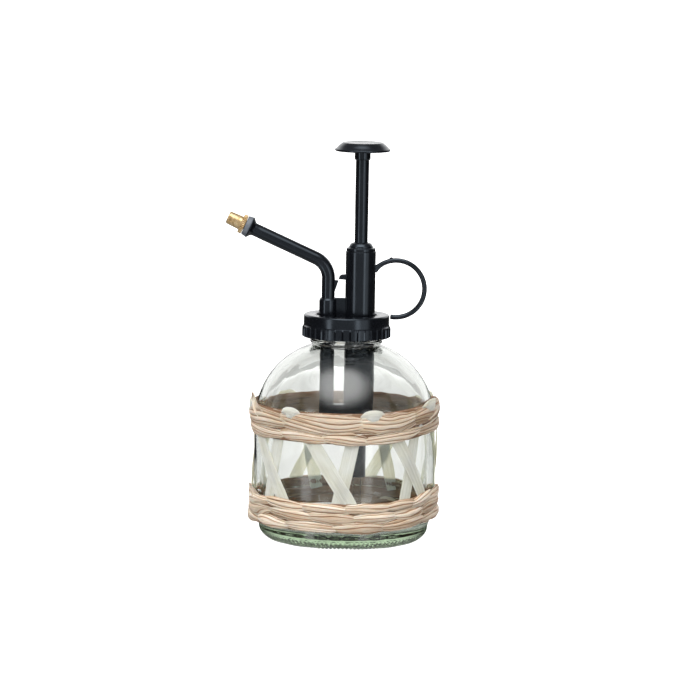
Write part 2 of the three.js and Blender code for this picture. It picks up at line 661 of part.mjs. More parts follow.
function nozzleCap() {
  const bore = NOZZLE_SPIGOT_R + RUN;
  const tipStart = KNURL_START + 0.2;
  const cone = 0.8;                 // height of the cone at the end of the bore
  const tip = turned([
    [0, tipStart], [TIP_R, tipStart], [TIP_R, KNURL_END + 2],
    [TIP_R - 0.4, TIP_END - 0.4], [TIP_R - 0.8, TIP_END], [0, TIP_END],
  ], SMALL);
  const hollow = turned([
    [0, KNURL_START - PAST], [bore, KNURL_START - PAST], [bore, TIP_END - TIP_WALL - cone],
    [SPRAY_HOLE_R, TIP_END - TIP_WALL], [SPRAY_HOLE_R, TIP_END + PAST], [0, TIP_END + PAST],
  ], SMALL);
  const knurl = toothedDisc(KNURL_R - KNURL_DEPTH, KNURL_R, KNURL_TEETH, 0.45, KNURL_START,
    KNURL_END);
  const cap = solid(tip).add(solid(knurl)).subtract(solid(hollow));
  return part('nozzle_cap', onArm(geometryOf(cap)), LOOK.brass);
}

function swirlCore() {
  const start = NOZZLE_SPIGOT_END + GAP;
  const end = start + SWIRL_LENGTH;
  return part('swirl_core', onArm(turned([
    [0, start], [SWIRL_R - 0.3, start], [SWIRL_R, start + 0.4], [SWIRL_R, end - 0.6],
    [SWIRL_R - 1, end], [0, end],
  ], 12)), LOOK.brass);
}

// ---- collar ----------------------------------------------------------------------------------
function screwCollar() {
  const edge = COLLAR_EDGE_R;
  const top = turned([
    [0, COLLAR_RIB_TOP_Z - PAST], [COLLAR_R, COLLAR_RIB_TOP_Z - PAST],
    ...arc(COLLAR_R - edge, COLLAR_TOP_Z - edge, edge, edge, 0, 90, 3), [0, COLLAR_TOP_Z],
  ], WIDE);
  const skirt = toothedDisc(COLLAR_RIB_ROOT_R, COLLAR_RIB_R, COLLAR_RIBS, COLLAR_CREST_SHARE,
    COLLAR_Z, COLLAR_RIB_TOP_Z);
  const plateZ = COLLAR_TOP_Z - COLLAR_PLATE;
  return part('screw_collar', geometryOf(solid(skirt).add(solid(top))
    .subtract(solid(disc(COLLAR_BORE_R, COLLAR_Z - PAST, plateZ, WIDE)))
    .subtract(solid(disc(COLLAR_HOLE_R, plateZ - PAST, COLLAR_TOP_Z + PAST, WIDE)))), LOOK.black);
}

// ---- assembly --------------------------------------------------------------------------------
function group(...meshes) {
  const g = new THREE.Group();
  g.add(...meshes);
  return g;
}

const bottle = group(glassBottle(), ...raffiaCords(), ...palmStrips());
const pump = group(
  pumpBody(), fingerRing(), neckGasket(), glandNut(), rodSeal(), footBlock(), valveCage(),
  tailTube(), dipTube(), spoutTube(), nozzleWasher(), returnSpring(),
);
const valves = group(
  valveBall('inlet_ball', INLET_BALL_R, INLET_HOLE_R, INLET_SEAT_Z, PUMP_X),
  valveBall('outlet_ball', OUTLET_BALL_R, RISER_BORE_R, OUTLET_SEAT_Z, RISER_X),
);
const plunger = group(pushButton(), plungerRod(), piston(), pistonSeal());
const nozzle = group(nozzleCap(), swirlCore());

export default group(bottle, pump, valves, plunger, nozzle, screwCollar());
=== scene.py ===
"""Hand mister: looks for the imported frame. Metres, in the row frame."""
import json
import math

import bmesh
import bpy
import numpy as np
from mathutils import Matrix, Vector

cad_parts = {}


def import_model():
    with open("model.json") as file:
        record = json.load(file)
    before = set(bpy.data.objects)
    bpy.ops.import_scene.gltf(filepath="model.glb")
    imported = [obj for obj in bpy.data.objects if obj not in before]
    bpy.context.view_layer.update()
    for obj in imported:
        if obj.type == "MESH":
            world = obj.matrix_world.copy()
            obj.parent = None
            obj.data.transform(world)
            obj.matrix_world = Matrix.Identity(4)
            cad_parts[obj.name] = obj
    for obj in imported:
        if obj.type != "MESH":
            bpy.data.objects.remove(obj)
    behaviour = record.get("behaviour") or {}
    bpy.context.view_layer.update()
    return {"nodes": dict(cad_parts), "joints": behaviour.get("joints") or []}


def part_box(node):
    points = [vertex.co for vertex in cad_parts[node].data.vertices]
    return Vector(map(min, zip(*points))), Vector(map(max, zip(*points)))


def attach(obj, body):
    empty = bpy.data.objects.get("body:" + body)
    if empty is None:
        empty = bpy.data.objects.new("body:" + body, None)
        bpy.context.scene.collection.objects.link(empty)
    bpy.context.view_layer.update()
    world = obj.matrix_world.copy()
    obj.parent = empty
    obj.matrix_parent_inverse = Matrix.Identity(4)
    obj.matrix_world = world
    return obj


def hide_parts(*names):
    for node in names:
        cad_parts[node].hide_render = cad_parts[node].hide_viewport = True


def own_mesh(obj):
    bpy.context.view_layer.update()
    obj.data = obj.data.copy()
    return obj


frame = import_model()

MM = 0.001
TAU = 2 * math.pi


# ---- places read from the frame ----
def low(node):
    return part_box(node)[0]


def high(node):
    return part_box(node)[1]


def middle(node):
    return (low(node) + high(node)) / 2


JOINT = {j["name"]: j for j in frame["joints"]}
PUMP_X = middle("gland_nut").x
RISER_X = middle("outlet_ball").x
BODY_R = high("glass_bottle").x
LIP_Z = high("glass_bottle").z
BARREL_R = high("foot_block").x - PUMP_X
RISER_R = RISER_X - low("foot_block").x
ARM_DIR = Vector(JOINT["nozzle_turn"]["axis"]).normalized()
ARM_END = Vector(JOINT["nozzle_turn"]["pos_m"])


# ---- mesh helpers ----
def link(name, mesh):
    piece = bpy.data.objects.new(name, mesh)
    bpy.context.scene.collection.objects.link(piece)
    return piece


def face_out(mesh):
    """Turns the faces over if they point in."""
    mesh.calc_loop_triangles()
    co = np.empty(len(mesh.vertices) * 3)
    mesh.vertices.foreach_get("co", co)
    tri = np.empty(len(mesh.loop_triangles) * 3, np.int32)
    mesh.loop_triangles.foreach_get("vertices", tri)
    a, b, c = co.reshape(-1, 3)[tri.reshape(-1, 3)].transpose(1, 0, 2)
    if np.einsum("ij,ij->i", a, np.cross(b, c)).sum() < 0:
        mesh.flip_normals()


def smooth(piece, angle=35):
    piece.data.shade_smooth()
    piece.data.set_sharp_from_angle(angle=math.radians(angle))
    return piece


def mesh_from(name, points, quads, others=()):
    """A mesh from an (n, 3) array, an (m, 4) array of quads and a list of other faces."""
    faces = [tuple(q) for q in quads.tolist()] + [tuple(f) for f in others]
    mesh = bpy.data.meshes.new(name)
    mesh.from_pydata(points.tolist(), [], faces)
    mesh.update()
    face_out(mesh)
    return mesh


def grid_quads(index):
    a, b = index[:-1, :-1], index[1:, :-1]
    c, d = index[1:, 1:], index[:-1, 1:]
    return np.stack([a, b, c, d], axis=-1).reshape(-1, 4)


def loft(name, centre, across, out, section, closed=False):
    """Sweeps a closed section of (across, out) offsets along centre points."""
    points = (centre[:, None] + section[..., :1] * across[:, None]
              + section[..., 1:] * out[:, None])
    steps, sides = points.shape[:2]
    index = np.arange(steps * sides).reshape(steps, sides)
    index = np.concatenate([index, index[:, :1]], axis=1)
    caps = []
    if closed:
        index = np.concatenate([index, index[:1]], axis=0)
    else:
        caps = [index[0, :-1].tolist(), index[-1, :-1].tolist()[::-1]]
    return link(name, mesh_from(name, points.reshape(-1, 3), grid_quads(index), caps))


def unit(v):
    return v / np.linalg.norm(v, axis=-1, keepdims=True)


def sweep(name, path, radius, up, sides=32, closed=False):
    """A round tube along a path. up is any direction that the path never follows."""
    path = np.asarray(path, float)
    if closed:
        along = unit(np.roll(path, -1, 0) - np.roll(path, 1, 0))
    else:
        along = unit(np.gradient(path, axis=0))
    across = unit(np.cross(along, np.asarray(up, float)))
    out = np.cross(across, along)
    a = full_turn(sides)
    radius = np.broadcast_to(radius, (len(path),))[:, None]
    section = np.stack([radius * np.cos(a), radius * np.sin(a)], axis=-1)
    return loft(name, path, across, out, section, closed)


def revolve(name, profile, segments=96, x=0.0, relief=None):
    """Turns a [radius, z] profile about a vertical axis at x. The profile starts and ends on the
    axis, or closes on itself. relief(angle, radius, z) gives an extra radius and height."""
    profile = np.asarray(profile, float)
    on_axis = profile[0, 0] < 1e-9
    body = profile[1:-1] if on_axis else profile[:-1]
    a = full_turn(segments)[:, None]
    r, z = body[None, :, 0], body[None, :, 1]
    if relief is not None:
        more_r, more_z = relief(a, r, z)
        r, z = r + more_r, z + more_z
    points = np.stack([x + r * np.cos(a), r * np.sin(a), z + 0 * a], axis=-1)
    rows = len(body)
    index = np.arange(segments * rows).reshape(segments, rows)
    index = np.concatenate([index, index[:1]], axis=0)
    points = points.reshape(-1, 3)
    fans = []
    if on_axis:
        poles = [[x, 0, profile[0, 1]], [x, 0, profile[-1, 1]]]
        points = np.concatenate([points, poles])
        first, last = segments * rows, segments * rows + 1
        for i in range(segments):
            fans.append((first, index[i + 1, 0], index[i, 0]))
            fans.append((last, index[i, -1], index[i + 1, -1]))
    else:
        index = np.concatenate([index, index[:, :1]], axis=1)
    return link(name, mesh_from(name, points, grid_quads(index), fans))


def mm(points, x=0.0, z=0.0):
    """Points in millimetres from (x, z), as metres."""
    return [(x + px * MM, z + pz * MM) for px, pz in points]


def full_turn(count):
    return np.linspace(0, TAU, count, endpoint=False)


def arc(cr, cz, rr, rz, start, end, steps):
    """Points of an elliptical arc, from start to end in degrees."""
    a = np.radians(np.linspace(start, end, steps + 1))
    return [(cr + rr * math.cos(t), cz + rz * math.sin(t)) for t in a]


def rounded(profile, radius, steps=4):
    """Rounds the corners of a profile. A profile that closes on itself has its start rounded too."""
    points = [Vector(p) for p in profile]
    closed = (points[0] - points[-1]).length < 1e-9
    if closed:
        points = points[:-1]
    count = len(points)
    result = []
    for i, corner in enumerate(points):
        if not closed and i in (0, count - 1):
            result.append(tuple(corner))
            continue
        before, after = points[i - 1] - corner, points[(i + 1) % count] - corner
        turn = before.angle(after)
        reach = min(radius / math.tan(turn / 2), before.length * 0.45, after.length * 0.45)
        if turn > math.radians(172) or reach < 1e-7:
            result.append(tuple(corner))
            continue
        start = corner + before.normalized() * reach
        end = corner + after.normalized() * reach
        for k in range(steps + 1):
            t = k / steps
            result.append(tuple((1 - t) ** 2 * start + 2 * t * (1 - t) * corner + t * t * end))
    if closed:
        result.append(result[0])
    return result


def combine(piece, other, operation):
    """Applies a boolean and removes the other object."""
    modifier = piece.modifiers.new("combine", "BOOLEAN")
    modifier.operation = operation
    modifier.solver = "EXACT"
    modifier.object = other
    bpy.context.view_layer.update()
    evaluated = piece.evaluated_get(bpy.context.evaluated_depsgraph_get())
    mesh = bpy.data.meshes.new_from_object(evaluated)
    piece.modifiers.clear()
    piece.data = mesh
    bpy.data.objects.remove(other)


def link_bmesh(name, bm):
    mesh = bpy.data.meshes.new(name)
    bm.to_mesh(mesh)
    bm.free()
    return link(name, mesh)


def block(name, x0, x1, z0, z1, thick, edge):
    """A plate in the X-Z plane with rounded edges."""
    bm = bmesh.new()
    bmesh.ops.create_cube(bm, size=1)
    size = Matrix.Diagonal((x1 - x0, thick, z1 - z0, 1))
    bm.transform(Matrix.Translation(((x0 + x1) / 2, 0, (z0 + z1) / 2)) @ size)
    bmesh.ops.bevel(bm, geom=bm.edges[:], offset=edge, segments=3, profile=0.5, affect="EDGES")
    return link_bmesh(name, bm)


def prism(name, outline, thick, edge):
    """A plate in the X-Z plane from its [x, z] outline, with rounded edges."""
    bm = bmesh.new()
    front = [bm.verts.new((x, -thick / 2, z)) for x, z in outline]
    face = bm.faces.new(front)
    swept = bmesh.ops.extrude_face_region(bm, geom=[face])
    moved = [v for v in swept["geom"] if isinstance(v, bmesh.types.BMVert)]
    bmesh.ops.translate(bm, verts=moved, vec=(0, thick, 0))
    bmesh.ops.recalc_face_normals(bm, faces=bm.faces[:])
    bmesh.ops.bevel(bm, geom=bm.edges[:], offset=edge, segments=2, profile=0.5, affect="EDGES")
    return link_bmesh(name, bm)


def store(piece, name, values):
    """Keeps a number or a vector for each vertex, for the material to read."""
    values = np.ascontiguousarray(values, np.float32)
    kind, key = ("FLOAT", "value") if values.ndim == 1 else ("FLOAT_VECTOR", "vector")
    piece.data.attributes.new(name, kind, "POINT").data.foreach_set(key, values.ravel())


def through(points, steps):
    """A smooth curve through points, by Catmull-Rom."""
    p = np.asarray(points, float)
    p = np.vstack([2 * p[0] - p[1], p, 2 * p[-1] - p[-2]])
    t = np.linspace(0, len(p) - 3 - 1e-9, steps)
    i = t.astype(int)
    f = (t - i)[:, None]
    a, b, c, d = p[i], p[i + 1], p[i + 2], p[i + 3]
    return 0.5 * (2 * b + (c - a) * f + (2 * a - 5 * b + 4 * c - d) * f ** 2
                  + (3 * b - a - 3 * c + d) * f ** 3)


def wander(t, rng, harmonics, size):
    """A smooth random wave of t that repeats every 4 pi."""
    total = 0
    for k in harmonics:
        total = total + rng.normal() * np.sin(k * t / 2 + rng.uniform(0, TAU))
    return size * total / math.sqrt(len(harmonics))


# ---- material helpers ----
def add(tree, kind, inputs=None, **settings):
    node = tree.nodes.new(kind)
    for key, value in settings.items():
        setattr(node, key, value)
    for key, value in (inputs or {}).items():
        if isinstance(value, bpy.types.NodeSocket):
            tree.links.new(value, node.inputs[key])
        else:
            node.inputs[key].default_value = value
    return node


def ramp(tree, factor, stops):
    """A colour ramp from (position, colour) stops."""
    node = add(tree, "ShaderNodeValToRGB", {"Fac": factor})
    elements = node.color_ramp.elements
    while len(elements) < len(stops):
        elements.new(0.5)
    for element, (position, colour) in zip(elements, stops):
        element.position = position
        element.color = (*colour, 1) if len(colour) == 3 else colour
    return node.outputs["Color"]


def grey(value):
    return (value, value, value)


def maths(tree, operation, a, b=0.0):
    return add(tree, "ShaderNodeMath", {0: a, 1: b}, operation=operation).outputs[0]


def principled(tree, colour, roughness, normal, more=None):
    inputs = {"Base Color": colour, "Roughness": roughness, "Normal": normal}
    return add(tree, "ShaderNodeBsdfPrincipled", {**inputs, **(more or {})}).outputs["BSDF"]


def noise(tree, vector, scale, detail=3.0, roughness=0.5):
    node = add(tree, "ShaderNodeTexNoise", {
        "Vector": vector, "Scale": scale, "Detail": detail, "Roughness": roughness})
    return node.outputs["Fac"]


def bump(tree, height, distance, strength=1.0, below=None):
    inputs = {"Height": height, "Distance": distance, "Strength": strength}
    if below is not None:
        inputs["Normal"] = below
    return add(tree, "ShaderNodeBump", inputs).outputs["Normal"]


def mix(tree, factor, a, b, blend="MIX"):
    node = add(tree, "ShaderNodeMix", data_type="RGBA", blend_type=blend)
    for socket, value in ((0, factor), (6, a), (7, b)):
        if isinstance(value, bpy.types.NodeSocket):
            tree.links.new(value, node.inputs[socket])
        elif socket == 0:
            node.inputs[0].default_value = value
        else:
            node.inputs[socket].default_value = (*value, 1)
    return node.outputs[2]


def stretched(tree, vector, scale):
    return add(tree, "ShaderNodeMapping", {"Vector": vector, "Scale": scale}).outputs["Vector"]


def attribute(tree, name, socket="Fac"):
    return add(tree, "ShaderNodeAttribute", attribute_name=name).outputs[socket]


def material(name, build):
    """A node material. build(tree, place) adds the shader and returns it; place is the object's
    own coordinates."""
    made = bpy.data.materials.new(name)
    made.use_nodes = True
    tree = made.node_tree
    tree.nodes.clear()
    place = add(tree, "ShaderNodeTexCoord").outputs["Object"]
    output = add(tree, "ShaderNodeOutputMaterial")
    shader = build(tree, place)
    tree.links.new(shader, output.inputs["Surface"])
    return made


# ---- materials ----
def black_plastic(tree, place):
    cloudy = noise(tree, place, 140, 4)
    colour = ramp(tree, cloudy, [(0.25, (0.0028, 0.0032, 0.0044)), (0.8, (0.005, 0.0056, 0.0076))])
    rough = ramp(tree, cloudy, [(0.3, grey(0.13)), (0.7, grey(0.22))])
    sink = bump(tree, noise(tree, place, 55, 2), 0.00022, 0.35)
    normal = bump(tree, noise(tree, place, 2600, 2), 0.00002, 0.35, sink)
    return principled(tree, colour, rough, normal, {
        "IOR": 1.5, "Specular Tint": (0.72, 0.86, 1.0, 1)})


def mottled(cloud, dark, light, grain, roughness, more=None):
    """Builds a plain finish. cloud is the scale and detail of the noise that mixes dark and light,
    grain the scale and detail of another and the distance and strength of its bump."""
    def build(tree, place):
        colour = ramp(tree, noise(tree, place, *cloud), [(0.3, dark), (0.7, light)])
        normal = bump(tree, noise(tree, place, *grain[:2]), *grain[2:])
        return principled(tree, colour, roughness, normal, more)
    return build


def brass(tree, place):
    along = add(tree, "ShaderNodeVectorMath", {0: place, 1: tuple(ARM_DIR)},
                operation="DOT_PRODUCT").outputs["Value"]
    lines = add(tree, "ShaderNodeTexNoise", {"W": along, "Scale": 9000, "Detail": 2},
                noise_dimensions="1D").outputs["Fac"]
    stain = noise(tree, place, 520, 5, 0.68)
    colour = ramp(tree, stain, [
        (0.3, (0.3, 0.17, 0.07)), (0.45, (0.6, 0.42, 0.21)), (0.7, (0.86, 0.69, 0.43))])
    rough = ramp(tree, stain, [(0.3, grey(0.4)), (0.65, grey(0.26))])
    normal = bump(tree, lines, 0.00002, 0.4)
    return principled(tree, colour, rough, normal, {"Metallic": 0.82})


def steel(tree, place):
    stain = noise(tree, place, 600, 3)
    colour = ramp(tree, stain, [(0.3, grey(0.55)), (0.7, grey(0.68))])
    rough = ramp(tree, stain, [(0.3, grey(0.18)), (0.7, grey(0.3))])
    normal = bump(tree, noise(tree, place, 4000, 2), 0.00001, 0.4)
    return principled(tree, colour, rough, normal, {"Metallic": 1.0})


def raffia(tree, place):
    """Dry raffia. Each vertex keeps its place along and across the fibre, a painted shade value, low
    in its creases, between the rows and at the pinches, and a tint for its fold."""
    fibre = attribute(tree, "fibre", "Vector")
    crease_shade = attribute(tree, "crease_shade")
    tint = attribute(tree, "tint")
    streaks = noise(tree, stretched(tree, fibre, (38, 1000, 1)), 1, 5, 0.65)
    fine = noise(tree, stretched(tree, fibre, (120, 4200, 1)), 1, 2, 0.6)
    blotch = noise(tree, stretched(tree, fibre, (60, 160, 1)), 1, 3)
    base = ramp(tree, tint, [
        (0.0, (0.3, 0.21, 0.13)), (0.3, (0.52, 0.43, 0.335)),
        (0.65, (0.66, 0.575, 0.475)), (1.0, (0.82, 0.76, 0.67))])
    warm = ramp(tree, blotch, [(0.42, (1, 1, 1)), (0.75, (0.92, 0.79, 0.65))])
    colour = mix(tree, 1.0, base, warm, "MULTIPLY")
    lines = ramp(tree, streaks, [
        (0.31, (0.33, 0.22, 0.14)), (0.46, (0.88, 0.85, 0.81)), (0.7, (1.2, 1.2, 1.22))])
    colour = mix(tree, 0.9, colour, lines, "MULTIPLY")
    # painted shade: the colour darkens where the stored shade value is low, in the creases, between the
    # rows and at the pinches
    crease_shade_colour = ramp(tree, crease_shade, [
        (0.0, (0.2, 0.085, 0.035)), (0.36, (0.56, 0.39, 0.26)), (0.66, (1, 1, 1))])
    colour = mix(tree, 0.9, colour, crease_shade_colour, "MULTIPLY")
    normal = bump(tree, streaks, 0.0004, 0.8)
    normal = bump(tree, fine, 0.00008, 0.6, normal)
    rough = ramp(tree, streaks, [(0.3, grey(0.72)), (0.7, grey(0.5))])
    return principled(tree, colour, rough, normal, {
        "Sheen Weight": 0.12, "Sheen Roughness": 0.4,
        "Subsurface Weight": 0.15, "Subsurface Scale": 0.0012})


def palm(tree, place):
    """Bleached palm leaf, with veins along its length."""
    fibre = attribute(tree, "fibre", "Vector")
    veins = noise(tree, stretched(tree, fibre, (14, 2300, 1)), 1, 4, 0.65)
    fine = noise(tree, stretched(tree, fibre, (60, 7000, 1)), 1, 2, 0.6)
    blotch = noise(tree, stretched(tree, fibre, (70, 220, 1)), 1, 3)
    base = ramp(tree, blotch, [
        (0.3, (0.63, 0.6, 0.48)), (0.55, (0.73, 0.71, 0.6)), (0.8, (0.79, 0.775, 0.68))])
    lines = ramp(tree, veins, [
        (0.3, (0.74, 0.73, 0.66)), (0.5, (0.97, 0.97, 0.95)), (0.75, grey(1.05))])
    colour = mix(tree, 0.85, base, lines, "MULTIPLY")
    normal = bump(tree, veins, 0.00014, 0.7)
    normal = bump(tree, fine, 0.00004, 0.5, normal)
    return principled(tree, colour, 0.55, normal, {
        "Sheen Weight": 0.1, "Subsurface Weight": 0.7, "Subsurface Scale": 0.003,
        "Subsurface Radius": (1, 0.9, 0.7)})


GRAIN_Z = 2 * MM, 5 * MM               # the grain under the bottle fades between these heights
GLASS_TINT = (0.44, 0.68, 0.33, 1)
GLASS_DENSITY = 15.0                   # of the tint, per metre of glass


def bottle_glass():
    """Clear soda glass, faintly green where it is thick. It lets lamplight in."""
    def build(tree, place):
        waves = noise(tree, stretched(tree, place, (1, 1, 0.45)), 42, 2)
        normal = bump(tree, waves, 0.0009, 0.45)
        height = add(tree, "ShaderNodeSeparateXYZ", {"Vector": place}).outputs["Z"]
        foot = add(tree, "ShaderNodeMapRange", {
            "Value": height, "From Min": GRAIN_Z[0], "From Max": GRAIN_Z[1], "To Min": 1.0,
            "To Max": 0.0}).outputs[0]
        grain = maths(tree, "MULTIPLY", noise(tree, place, 420, 3), foot)
        normal = bump(tree, grain, 0.0011, 0.9, normal)
        glass = principled(tree, (1, 1, 1, 1), 0.0, normal, {"IOR": 1.5, "Transmission Weight": 1.0})
        clear = add(tree, "ShaderNodeBsdfTransparent", {"Color": (0.93, 0.96, 0.94, 1)})
        lamp = add(tree, "ShaderNodeLightPath").outputs["Is Shadow Ray"]
        return add(tree, "ShaderNodeMixShader", {
            0: lamp, 1: glass, 2: clear.outputs["BSDF"]}).outputs["Shader"]
    made = material("bottle_glass", build)
    tree = made.node_tree
    depth = add(tree, "ShaderNodeVolumeAbsorption", {"Color": GLASS_TINT, "Density": GLASS_DENSITY})
    output = next(n for n in tree.nodes if n.type == "OUTPUT_MATERIAL")
    tree.links.new(depth.outputs["Volume"], output.inputs["Volume"])
    return made


FLOOR_GLOW = 1.0                       # the floor's own light, as the camera sees it
GLASS_GLOW = 0.22                      # and close to the bottle, as it is seen through glass


def floor_paint(tree, place):
    cloudy = noise(tree, place, 3, 2)
    colour = ramp(tree, cloudy, [(0.3, grey(0.42)), (0.7, grey(0.44))])
    path = add(tree, "ShaderNodeLightPath").outputs
    away = add(tree, "ShaderNodeVectorMath", {0: place}, operation="LENGTH").outputs["Value"]
    close = step(tree, away, 0.65, 0.25)
    glow = sums(tree, [path["Is Camera Ray"], FLOOR_GLOW],
                [path["Is Transmission Ray"], close, GLASS_GLOW])
    return add(tree, "ShaderNodeBsdfPrincipled", {
        "Base Color": colour, "Roughness": 0.85, "Specular IOR Level": 0.15,
        "Emission Color": (1, 1, 1, 1), "Emission Strength": glow}).outputs["BSDF"]


FINISH = {slot_name: material(slot_name, build) for slot_name, build in {
    "black_plastic": black_plastic,
    "grey_plastic": mottled(
        (500, 4), (0.075, 0.09, 0.11), (0.14, 0.15, 0.17), (1800, 3, 0.00006, 0.4), 0.42),
    "natural_plastic": mottled(
        (300, 3), (0.66, 0.67, 0.63), (0.78, 0.79, 0.76), (1500, 2, 0.00004, 0.4), 0.42,
        {"Subsurface Weight": 0.1, "Subsurface Scale": 0.001}),
    "clear_tube": mottled(
        (200, 3), (0.94, 0.95, 0.94), (0.99, 1, 0.99), (900, 2, 0.00003, 0.3), 0.05,
        {"IOR": 1.12, "Transmission Weight": 1.0}),
    "seal_rubber": mottled(
        (700, 4), grey(0.012), grey(0.03), (3000, 3, 0.00005, 0.5), 0.66),
    "brass": brass,
    "steel": steel,
    "raffia": raffia,
    "palm_strip": palm,
}.items()}
FINISH["bottle_glass"] = bottle_glass()


def piece(obj, body, slot, *nodes):
    """Gives a new piece its material, its body and the CAD nodes that it stands for."""
    obj.data.materials.clear()
    obj.data.materials.append(FINISH[slot])
    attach(obj, body)
    if nodes:
        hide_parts(*nodes)
    return obj


# ---- bottle ----
WALL = 3.1 * MM
FLOOR_Z = 7.5 * MM
BEARING_R = 34 * MM
HEEL_R = 42.4 * MM
HEEL_Z = 7.5 * MM
SIDE_Z = 17 * MM
SHOULDER_R = 40.15 * MM
SHOULDER_Z = 59.8 * MM
SHOULDER_X = BODY_R - SHOULDER_R
NECK_R = 17 * MM
NECK_BORE_R = 14.8 * MM
BEAD_Z = 100 * MM
THREAD_Z = 102.8 * MM
THREAD_PITCH = 3.2 * MM
THREAD_TURNS = 1.3
THREAD_HEIGHT = 1.05 * MM
KNURLS = 112                           # ridges round the bearing ring
RIDGE_R, RIDGE_HALF = 36 * MM, 5.2 * MM
RIDGE_TOP, RIDGE_HEIGHT = 4.5 * MM, 0.95 * MM
INNER_HEEL = 12 * MM


def glass_relief(angle, radius, z):
    """Ridges round the bearing ring, and the thread on the neck."""
    ring = np.exp(-((radius - RIDGE_R) / RIDGE_HALF) ** 6) * (z < RIDGE_TOP)
    ridges = 0.5 - 0.5 * np.cos(angle * KNURLS) * (1 - 0.3 * np.sin(angle * 7) ** 2)
    ridges = RIDGE_HEIGHT * ridges * ring
    turn = (angle % TAU) / TAU
    thread = 0
    for lap in range(2):
        t = turn + lap
        fade = np.clip(t / 0.1, 0, 1) * np.clip((THREAD_TURNS - t) / 0.1, 0, 1)
        offset = (z - THREAD_Z - THREAD_PITCH * t) / (0.75 * MM)
        thread = thread + fade * np.exp(-offset ** 4)
    on_neck = (radius > NECK_R - 0.2 * MM) & (z > BEAD_Z + 1.5 * MM)
    return THREAD_HEIGHT * thread * on_neck, ridges


def glass_bottle():
    neck_foot = math.degrees(math.acos((NECK_R - SHOULDER_X) / SHOULDER_R))
    inner_r = SHOULDER_R - WALL
    bore_foot = math.degrees(math.acos((NECK_BORE_R - SHOULDER_X) / inner_r))
    inner_side = BODY_R - WALL
    outer = [
        *mm([(0, 1.5), (20, 1.3), (28, 0.8), (31, 0.2)]), (BEARING_R - MM, 0),
        *arc(BEARING_R, HEEL_Z, HEEL_R - BEARING_R, HEEL_Z, -90, 0, 16),
        *mm([(43.7, 12), (44.7, 15)]), (BODY_R, SIDE_Z + 2 * MM),
        (BODY_R, 30 * MM), (BODY_R, 45 * MM),
        *arc(SHOULDER_X, SHOULDER_Z, SHOULDER_R, SHOULDER_R, 0, neck_foot, 30),
        *arc(NECK_R, BEAD_Z, 1 * MM, 1.1 * MM, -75, 75, 10),
        *[(NECK_R, BEAD_Z + 1.6 * MM + k * 0.25 * MM) for k in range(23)],
    ]
    lip = arc(NECK_R - 0.9 * MM, LIP_Z - 0.9 * MM, 0.9 * MM, 0.9 * MM, 0, 90, 5)
    lip += arc(NECK_BORE_R + 0.7 * MM, LIP_Z - 0.7 * MM, 0.7 * MM, 0.7 * MM, 90, 180, 4)
    inner = [
        *lip,
        *arc(SHOULDER_X, SHOULDER_Z, inner_r, inner_r, bore_foot, 0, 26),
        (inner_side, 40 * MM), (inner_side, 25 * MM),
        *arc(inner_side - INNER_HEEL, FLOOR_Z + INNER_HEEL, INNER_HEEL, INNER_HEEL, 0, -90, 10),
        *mm([(26, 0.1), (14, 0.7), (0, 1)], z=FLOOR_Z),
    ]
    bottle = revolve("bottle", outer + inner, KNURLS * 6, relief=glass_relief)
    piece(smooth(bottle, 60), "bottle", "bottle_glass", "glass_bottle")


# ---- raffia cords ----
RISE_ANGLE = math.radians(78)          # on the finger-ring side the wrap rides up the bottle
RISE_WIDTH = math.radians(34)
RISE = 3.2 * MM
RAFFIA_GAP = 0.25 * MM                 # between the glass and a bundle
TAIL_THICK = 0.24 * MM


def wrap_rise(theta):
    """How far the wrap rises at an angle measured from the front towards +X."""
    away = (theta - RISE_ANGLE + math.pi) % TAU - math.pi
    return RISE * np.exp(-(away / RISE_WIDTH) ** 2)


def on_bottle(theta, radius, z):
    return np.stack([radius * np.sin(theta), -radius * np.cos(theta), z + 0 * theta], axis=-1)


def store_fibre(strand, fibre, crease_shade, tint):
    """Keeps what the raffia material reads. The painted shade value and the tint may each be one number for
    all vertices.
    """
    count = len(strand.data.vertices)
    store(strand, "fibre", fibre.reshape(-1, 3))
    store(strand, "crease_shade", np.broadcast_to(np.ravel(crease_shade), count))
    store(strand, "tint", np.broadcast_to(np.ravel(tint), count))


def flat_strand(name, centre, theta, place, height, thick, narrow, along_it, mark):
    """A thin strip along centre, which lies at the angles theta. place and height are across it
    and off its middle, for each step and side. narrow scales its back. Returns it and its fibre."""
    along = unit(np.gradient(centre, axis=0))
    across = unit(np.cross(along, on_bottle(theta, 1.0, 0.0)))
    face = np.stack([place, height + thick / 2], -1)
    back = np.stack([place * narrow, height - thick / 2], -1)[:, ::-1]
    section = np.concatenate([face, back], axis=1)
    strand = loft(name, centre, across, np.cross(across, along), section)
    v = np.concatenate([place, place[:, ::-1]], axis=1)
    return strand, np.stack([np.broadcast_to(along_it, v.shape), v, 0 * v + mark], -1)


def glass_radius(z):
    """How far the glass stands in from its widest at a height on the shoulder."""
    above = np.maximum(z - SHOULDER_Z, 0)
    return np.minimum(0, SHOULDER_X + np.sqrt(SHOULDER_R ** 2 - above ** 2) - BODY_R)


def fold_profile(v, run, folds, rng):
    """Folds along a strand: the height of each, its tint, its shape across the fold (0 at a fold's edge)
    and the place across.
    """
    place = folds * v[None] / TAU
    place = place + wander(run * 0.9, rng, (1, 2, 3), 0.4)[:, None]
    place = place + wander(run * 0.9, rng, (1, 3, 5), 0.3)[:, None] * np.sin(v)[None]
    place = place + 0.22 * np.sin(2 * v[None] + run[:, None] * 0.8)
    fold = np.floor(place).astype(int) % folds
    share = place - np.floor(place)
    shape = np.sqrt(np.clip(1 - (2 * share - 1) ** 2, 0, 1))
    size = rng.uniform(0.5, 1.3, folds)[fold]
    tint = rng.uniform(0.05, 1.0, folds)[fold]
    return size * shape - 0.6, tint, shape, place / folds


